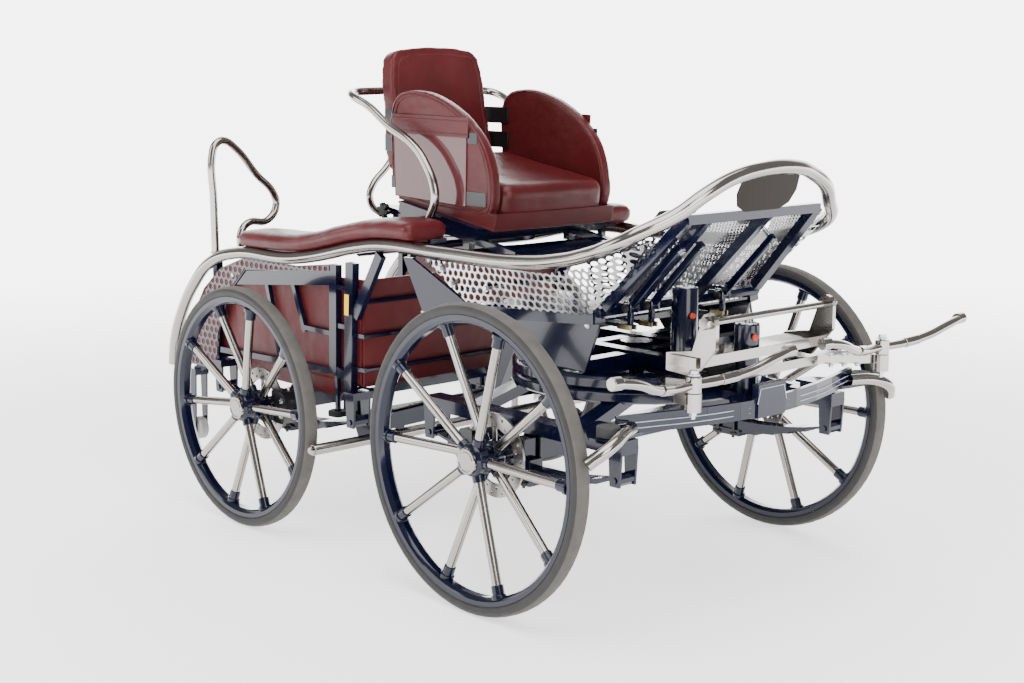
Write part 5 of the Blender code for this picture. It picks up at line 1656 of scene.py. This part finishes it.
@dataclass
class Bumper:
    """The painted bow with its lines, polished tube ends and grey buffers."""

    bow: tuple[Point, ...] = (
        (0.372, 0.470, 0.532), (0.392, 0.400, 0.532), (0.438, 0.220, 0.530), (0.455, 0.078, 0.529),
    )
    front: float = 0.0068
    plate_x: float = 0.4706
    line_radius: float = 0.0011
    horn: tuple[Point, ...] = (
        (0.395, 0.440, 0.526), (0.424, 0.500, 0.524), (0.436, 0.560, 0.502),
        (0.412, 0.608, 0.466),
    )

    def lines(self) -> None:
        """The pale lines along the bow and round its raised middle."""
        parts = []
        for rise in (0.004, -0.010):
            for sign in (-1, 1):
                line = [at(x + self.front, sign * y, z + rise) for x, y, z in self.bow]
                parts.append(tube("line", line, self.line_radius, fine=5))
        raised = [(-0.058, 0.540), (-0.047, 0.578), (0.047, 0.578), (0.058, 0.540)]
        line = [at(self.plate_x, y, z) for y, z in raised]
        parts.append(tube("line", line, self.line_radius, smooth=False))
        assembled("bumper_lines", parts, "front_gear", PALE_LINE)

    def horns(self) -> None:
        """The polished sleeves over both tube ends, each with a domed plug."""
        parts = []
        for sign in (-1, 1):
            line = [at(x, sign * y, z) for x, y, z in self.horn]
            way = (line[-1] - line[-2]).normalized()
            line[-1] = line[-1] + way * 0.0008
            parts.append(tube("sleeve", line, 0.0167, fine=10))
        assembled("bumper_horns", parts, "front_gear", STAINLESS)

    def buffers(self) -> None:
        """The round grey buffers on the arms."""
        parts = []
        for sign in (-1, 1):
            foot, top = at(0.380, sign * 0.505, 0.5125), at(0.380, sign * 0.505, 0.5388)
            parts.append(rod("buffer", foot, top, 0.0288, 40, 0.002))
        assembled("bumper_buffers", parts, "front_gear", BUFFER)

    def build(self) -> None:
        """Builds what shows on the bumper."""
        self.lines()
        self.horns()
        self.buffers()


# Dash and controls


@dataclass
class Controls:
    """The three pedals with their zinc bolts and domes, and the plated push rods."""

    places: dict[str, float] = field(
        default_factory=lambda: {"right": -0.232, "centre": -0.153, "left": 0.128}
    )
    pivot: tuple[float, float] = (0.192, 0.772)
    reach: float = 0.240
    stand_off: float = 0.090
    rod_z: float = 0.722
    lean: tuple[float, float] = (0.694, 0.720)
    dome: tuple[tuple[float, float], ...] = (
        (0.0, 0.0085), (0.006, 0.0078), (0.0095, 0.0055), (0.0115, 0.0), (0.0, 0.0),
    )

    def pedal(self, name: str, y: float) -> None:
        """One lever with its boss, its stem, its ribbed pad and its bolt.

        Args:
            name: which pedal.
            y: where it hangs.
        """
        up = Vector((self.lean[0], 0.0, self.lean[1])).normalized()
        away = Vector((up.z, 0.0, -up.x))
        centre = at(self.pivot[0], y, self.pivot[1])
        turn = Matrix((away, LEFTWARD, up)).transposed()
        end = centre + up * self.reach
        parts = [block("lever", (0.0200, 0.0138, self.reach), (centre + end) / 2, turn, 0.003)]
        side = LEFTWARD
        parts.append(rod("boss", centre - side * 0.010, centre + side * 0.010, 0.0135, 28, 0.0015))
        arm = at(self.pivot[0], y, self.rod_z - 0.001)
        parts.append(block("arm", (0.0155, 0.0118, 0.062), (centre + arm) / 2, Matrix(), 0.003))
        body = f"{name}_pedal"
        assembled(f"pedal_{name}_lever", parts, body, NAVY, f"pedal_{name}", sharp_deg=32.0)
        pad = end - up * 0.012 - away * self.stand_off
        plate = [block("pad", (0.0105, 0.056, 0.076), pad, turn, 0.003)]
        for step in range(-3, 4):
            face = pad + up * 0.0095 * step - away * 0.0052
            plate.append(block("rib", (0.0024, 0.050, 0.0036), face, turn, 0.0008))
        assembled(f"pedal_{name}_pad", plate, body, PLASTIC)
        stem_start = end - up * 0.012 + away * 0.0100
        stem = [rod("stem", stem_start, pad + away * 0.005, 0.0058, 18)]
        stem.append(bolt("bolt", end - up * 0.012 + away * 0.0098, away, 0.0088))
        assembled(f"pedal_{name}_stem", stem, body, PLATED)

    def push_rod(self, name: str, y: float) -> None:
        """One zinc rod with its yellow clevis, its pin and its lock nut.

        Args:
            name: which pedal moves it.
            y: where it lies.
        """
        x, z = self.pivot[0], self.rod_z
        front, back = x + 0.012, x - 0.034
        clevis = [block("heel", (0.0140, 0.0232, 0.0140), at(back + 0.007, y, z), None, 0.0015)]
        for edge in (-1, 1):
            cheek = at((front + back) / 2, y + edge * 0.0095, z)
            clevis.append(block("cheek", (front - back, 0.0038, 0.0138), cheek, None, 0.0012))
        clevis.append(rod("pin", at(x, y - 0.0132, z), at(x, y + 0.0132, z), 0.0040, 16, 0.0008))
        body = f"{name}_push_rod"
        assembled(f"push_rod_{name}_clevis", clevis, body, BRASS, f"push_rod_{name}")
        shaft = [rod("shaft", at(back + 0.004, y, z), at(-0.090, y, z), 0.0050, 20)]
        shaft.append(rod("nut", at(back - 0.009, y, z), at(back - 0.001, y, z), 0.0085, 6))
        assembled(f"push_rod_{name}_shaft", shaft, body, PLATED, sharp_deg=32.0)

    def domes(self) -> None:
        """Black domes over the pedal pivots."""
        parts = []
        for y in self.places.values():
            for edge in (-1, 1):
                place = at(self.pivot[0], y + edge * 0.0196, self.pivot[1])
                parts.append(turned("dome", self.dome, place, (0, edge, 0), 28, closed=False))
        assembled("pedal_domes", parts, "chassis", PLASTIC)

    def build(self) -> None:
        """Builds all three pedals and rods."""
        for name, y in self.places.items():
            self.pedal(name, y)
            self.push_rod(name, y)
        self.domes()


# Body coverings and small fittings


@dataclass
class Coverings:
    """The creased red lining and the painted mesh over the rear quarters."""

    lining_y: float = 0.3900
    skin_y: float = 0.4107
    quarter: tuple[tuple[float, float], ...] = (
        (-1.672, 0.395), (-1.484, 0.395), (-1.466, 0.520), (-1.404, 0.658), (-1.303, 0.743),
        (-0.853, 0.780), (-0.853, 0.796), (-1.020, 0.778), (-1.305, 0.775), (-1.447, 0.727),
        (-1.545, 0.653), (-1.609, 0.568), (-1.659, 0.469),
    )

    def creased_wall(self, side: str, sign: int) -> None:
        """The loose cover of one side wall, with soft upright folds.

        Args:
            side: its name.
            sign: -1 for the right, 1 for the left.
        """
        bpy.ops.mesh.primitive_grid_add(x_subdivisions=150, y_subdivisions=70, size=1.0)
        made = active()
        made.name = f"rear_lining_{side}_cover"
        frame = upright(at(-1.060, sign * self.lining_y, 0.5950))
        made.matrix_world = frame @ Matrix.Diagonal((0.660, 0.286, 1.0, 1.0))
        settled(made, 60.0)
        dented(made, f"{side}_folds", 0.075, 0.0042)
        applied(made, "SOLIDIFY", thickness=0.0008, offset=0.0)
        Piece.give(made, "chassis", LINING)

    def quarter_mesh(self, side: str, sign: int) -> None:
        """The red cloth and the painted mesh over one rear quarter.

        Args:
            side: its name.
            sign: -1 for the right, 1 for the left.
        """
        for name, lift, thickness, finish in (
            ("cloth", 0.0007, 0.0006, LINING),
            ("mesh", 0.0019, 0.0010, NAVY_MESH),
        ):
            y = sign * (self.skin_y + lift)
            plane = upright(at(0.0, y, 0.0))
            made = flat_sheet(f"rear_quarter_{side}_{name}", self.quarter, thickness, plane)
            Piece.give(made, "chassis", finish)

    def build(self) -> None:
        """Builds the coverings on both sides."""
        for side, sign in SIDES:
            self.creased_wall(side, sign)
            self.quarter_mesh(side, sign)


@dataclass
class Post:
    """A smooth painted post with its plated lid and its red grease cap.

    Heights are above the floor, except the sleeve's shoulder and top, which are above its foot.
    """

    name: str
    body: str
    foot: Point
    radius: float
    rim: float
    shoulder: float
    top: float
    cap_z: float
    lid_z: float
    cap: tuple[tuple[float, float], ...] = (
        (0.0, -0.002), (0.0045, -0.002), (0.0045, 0.004), (0.0078, 0.005), (0.0078, 0.011),
        (0.0, 0.014),
    )
    lid: tuple[tuple[float, float], ...] = (
        (0.0, 0.0), (0.024, 0.0), (0.024, 0.003), (0.008, 0.004), (0.006, 0.010), (0.0, 0.010),
    )

    def sleeve(self) -> None:
        """The painted sleeve with its chamfered rim."""
        half = [(0.0, 0.0), (self.radius, 0.0), (self.radius, self.shoulder)]
        half += [(self.rim, self.top), (0.0, self.top)]
        foot = at(*self.foot)
        made = turned(f"{self.name}_post_sleeve", half, foot, UPWARD, 48, closed=False)
        Piece.give(made, self.body, NAVY)

    def cap_and_lid(self) -> None:
        """The grease cap on its side and the plated lid on its top."""
        x, y, _ = self.foot
        way = Vector((0.93, -0.36, 0.0)).normalized()
        place = at(x, y, self.cap_z) + way * self.radius
        cap = turned(f"{self.name}_grease_cap", self.cap, place, way, 24, closed=False)
        Piece.give(cap, self.body, GREASE_CAP)
        place = at(x, y, self.lid_z)
        lid = turned(f"{self.name}_post_lid", self.lid, place, UPWARD, 32, closed=False)
        Piece.give(lid, self.body, PLATED)


@dataclass
class Fittings:
    """Reflectors, bolts, spring clips, the roller, the handwheel, the plate and the dash mesh."""

    posts: tuple[Post, ...] = (
        Post(
            "front", "chassis", (0.219, -0.055, 0.620), 0.0348, 0.0330, 0.188, 0.1915, 0.742, 0.8112
        ),
        Post(
            "draught", "front_gear", (0.383, 0.0, 0.676), 0.0326, 0.0310, 0.052, 0.0545, 0.7, 0.7302
        ),
    )
    bolts: tuple[tuple[float, float, float, float], ...] = (
        (-0.300, 0.4102, 0.800, 0.0075), (-0.170, 0.4020, 0.800, 0.0075),
        (-0.345, 0.4110, 0.838, 0.0075), (-1.372, 0.4075, 0.716, 0.0070),
        (-0.160, 0.3045, 0.725, 0.0060), (-0.020, 0.3045, 0.725, 0.0060),
        (0.110, 0.3045, 0.725, 0.0060),
    )
    spring_y: float = 0.420
    clip_half: float = 0.0285
    grips: int = 28
    roller_place: Point = (-1.617, -0.400, 0.175)
    handwheel_place: Point = (-0.835, -0.400, 0.354)
    axles: tuple[tuple[str, str, float, float], ...] = (
        ("front", "front_gear", 0.0, 0.400),
        ("rear", "chassis", -1.060, 0.364),
    )

    def reflectors(self) -> None:
        """The bare amber reflectors on the posts and the gussets."""
        for side, sign in SIDES:
            parts = []
            for size, place, turn in (
                ((0.020, 0.0022, 0.062), at(-0.7605, sign * 0.4192, 0.690), 0.045),
                ((0.046, 0.0022, 0.016), at(-0.3900, sign * 0.4235, 0.7080), -0.10),
            ):
                parts.append(block("plate", size, place, Matrix.Rotation(turn, 3, "Y"), 0.0008))
            assembled(f"reflectors_{side}", parts, "chassis", REFLECTOR)

    def spring_clips(self) -> None:
        """Clips over each axle beam that hold its springs, with nuts below."""
        for end, body, x, height in self.axles:
            parts = []
            for sign in (-1, 1):
                for edge in (-1, 1):
                    y = sign * self.spring_y + edge * 0.0290
                    top, foot, half = height + 0.0345, height - 0.094, self.clip_half
                    leg = [(half, foot), (half, top - 0.006), (half - 0.006, top)]
                    clip = [at(x - u, y, z) for u, z in leg]
                    clip += [at(x + u, y, z) for u, z in reversed(leg)]
                    parts.append(tube("clip", clip, 0.0048, smooth=False))
                    for way in (-1, 1):
                        place = at(x + way * half, y, height - 0.080)
                        parts.append(bolt("nut", place, -UPWARD, 0.0085))
            assembled(f"spring_clips_{end}", parts, body, BLACK, slot=Slot.SPRING, sharp_deg=32.0)

    def caliper_bolts(self) -> None:
        """Two bolts and a bleed nipple on each brake caliper."""
        for end, body, x, height in self.axles:
            way = -1 if end == "front" else 1
            parts = []
            for side, sign in SIDES:
                low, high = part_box(f"brake_caliper_{end}_{side}")
                face = low[1] if sign < 0 else high[1]
                for rise in (-0.022, 0.022):
                    place = Vector((x + SHIFT + way * 0.116, face, height + 0.004 + rise))
                    parts.append(bolt("bolt", place, (0, sign, 0), 0.0068))
                nipple = Vector((x + SHIFT + way * 0.108, (low[1] + high[1]) / 2, high[2]))
                foot, tip = nipple - UPWARD * 0.002, nipple + UPWARD * 0.012
                parts.append(rod("nipple", foot, tip, 0.004, 12))
            assembled(f"caliper_bolts_{end}", parts, body, PLATED, sharp_deg=32.0)

    def frame_bolts(self) -> None:
        """Zinc bolts through the side panels and the frame's plates."""
        parts = []
        for sign in (-1, 1):
            for x, y, z, size in self.bolts:
                parts.append(bolt("bolt", at(x, sign * y, z), (0, sign, 0), size))
        assembled("frame_bolts", parts, "chassis", PLATED, sharp_deg=32.0)

    def roller(self) -> None:
        """The pale roller with its stepped hub."""
        profile = [
            (0.0072, -0.0150), (0.0160, -0.0150), (0.0175, -0.0120), (0.0290, -0.0120),
            (0.0315, -0.0148), (0.0355, -0.0135), (0.0375, -0.0100),
        ]
        loop = profile + [(r, -h) for r, h in reversed(profile)]
        made = turned("rear_roller_wheel", loop, at(*self.roller_place), LEFTWARD, 48)
        Piece.give(made, "roller", PALE_NYLON, "rear_roller")

    def handwheel(self) -> None:
        """The black handwheel with its grips round the rim."""
        place = at(*self.handwheel_place)
        profile = [(0.0102, -0.0080), (0.0270, -0.0080), (0.0285, -0.0065), (0.0285, 0.0065)]
        profile += [(0.0270, 0.0080), (0.0102, 0.0080)]
        parts = [turned("disc", profile, place, UPWARD, 48)]
        lift = UPWARD * 0.0070
        for index in range(self.grips):
            angle = 2 * math.pi * index / self.grips
            spot = place + Vector((math.cos(angle), math.sin(angle), 0.0)) * 0.0278
            parts.append(rod("grip", spot - lift, spot + lift, 0.0022, 8))
        assembled(
            "adjuster_wheel", parts, "adjuster", PLASTIC, "adjuster_handwheel", sharp_deg=32.0
        )

    def turntable(self) -> None:
        """A smooth band round each turntable ring."""
        for name, body, base in (("upper", "chassis", 0.562), ("lower", "front_gear", 0.5274)):
            half = [(0.3330, 0.0008), (0.3392, 0.0046), (0.3412, 0.0070)]
            profile = half + [(r, 0.0340 - h) for r, h in reversed(half)]
            band = turned(f"ring_band_{name}", profile, at(0.0, 0.0, base), UPWARD, 96)
            Piece.give(band, body, NAVY)

    def mirror(self) -> None:
        """The bare polished plate that hangs between the arch of the rail and the dash; its
        near-black colour is a painted dark reflection.
        """
        outline = [(-0.118, 0.000), (-0.112, 0.042), (0.0, 0.050), (0.112, 0.042), (0.118, 0.000)]
        outline += [(0.102, -0.034), (0.068, -0.050), (-0.068, -0.050), (-0.102, -0.034)]
        plane = plane_frame(at(0.4335, 0.0, 1.0690), LEFTWARD, Vector((0.36, 0, 1)))
        made = flat_sheet("mirror_plate_sheet", outline, 0.0035, plane, 0.0008)
        Piece.give(made, "chassis", MIRROR_PAINTED_REFLECTION, "mirror_plate")

    def dash_mesh(self) -> None:
        """The dark mesh that closes the triangle between the rail and the dash on each side."""
        for side, sign in SIDES:
            foot, top = at(0.165, sign * 0.332, 0.786), at(0.392, sign * 0.318, 1.004)
            rail = at(0.205, sign * 0.410, 0.912)
            plane = plane_frame(foot, top - foot, rail - foot)
            upper, lower = at(0.352, sign * 0.366, 0.976), at(0.300, sign * 0.396, 0.948)
            spots = (foot, top, upper, lower, rail)
            outline = [tuple((plane.inverted() @ spot)[:2]) for spot in spots]
            made = flat_sheet(f"dash_mesh_{side}", outline, 0.0012, plane)
            Piece.give(made, "chassis", DASH_MESH)

    def build(self) -> None:
        """Builds every small fitting."""
        for post in self.posts:
            post.sleeve()
        for post in self.posts:
            post.cap_and_lid()
        self.reflectors()
        self.spring_clips()
        self.caliper_bolts()
        self.frame_bolts()
        self.roller()
        self.handwheel()
        self.turntable()
        self.mirror()
        self.dash_mesh()


def main() -> None:
    """Loads the frame, builds each sub-assembly and dresses it."""
    logging.basicConfig(level=logging.INFO, format="%(name)s: %(message)s")
    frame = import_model()
    Studio().build()
    KeptNodes().dress(frame)
    pads = [LongPad(*side) for side in SIDES]
    trim = [DriverSeat(), DraughtGear(), Bumper(), Controls(), Coverings(), Fittings()]
    for group in (*WHEELS, Tubework(), *pads, *trim):
        group.build()


AXLES = (("front", 0.0, 0.400, 0.625, 0.0), ("rear", -1.060, 0.364, 0.617, 5.0))
WHEELS = [
    Wheel(f"{end}_{side}", f"{end}_{side}_wheel", x, radius, face, sign, turn)
    for end, x, radius, face, turn in AXLES
    for side, sign in SIDES
]

if __name__ == "__main__":
    main()
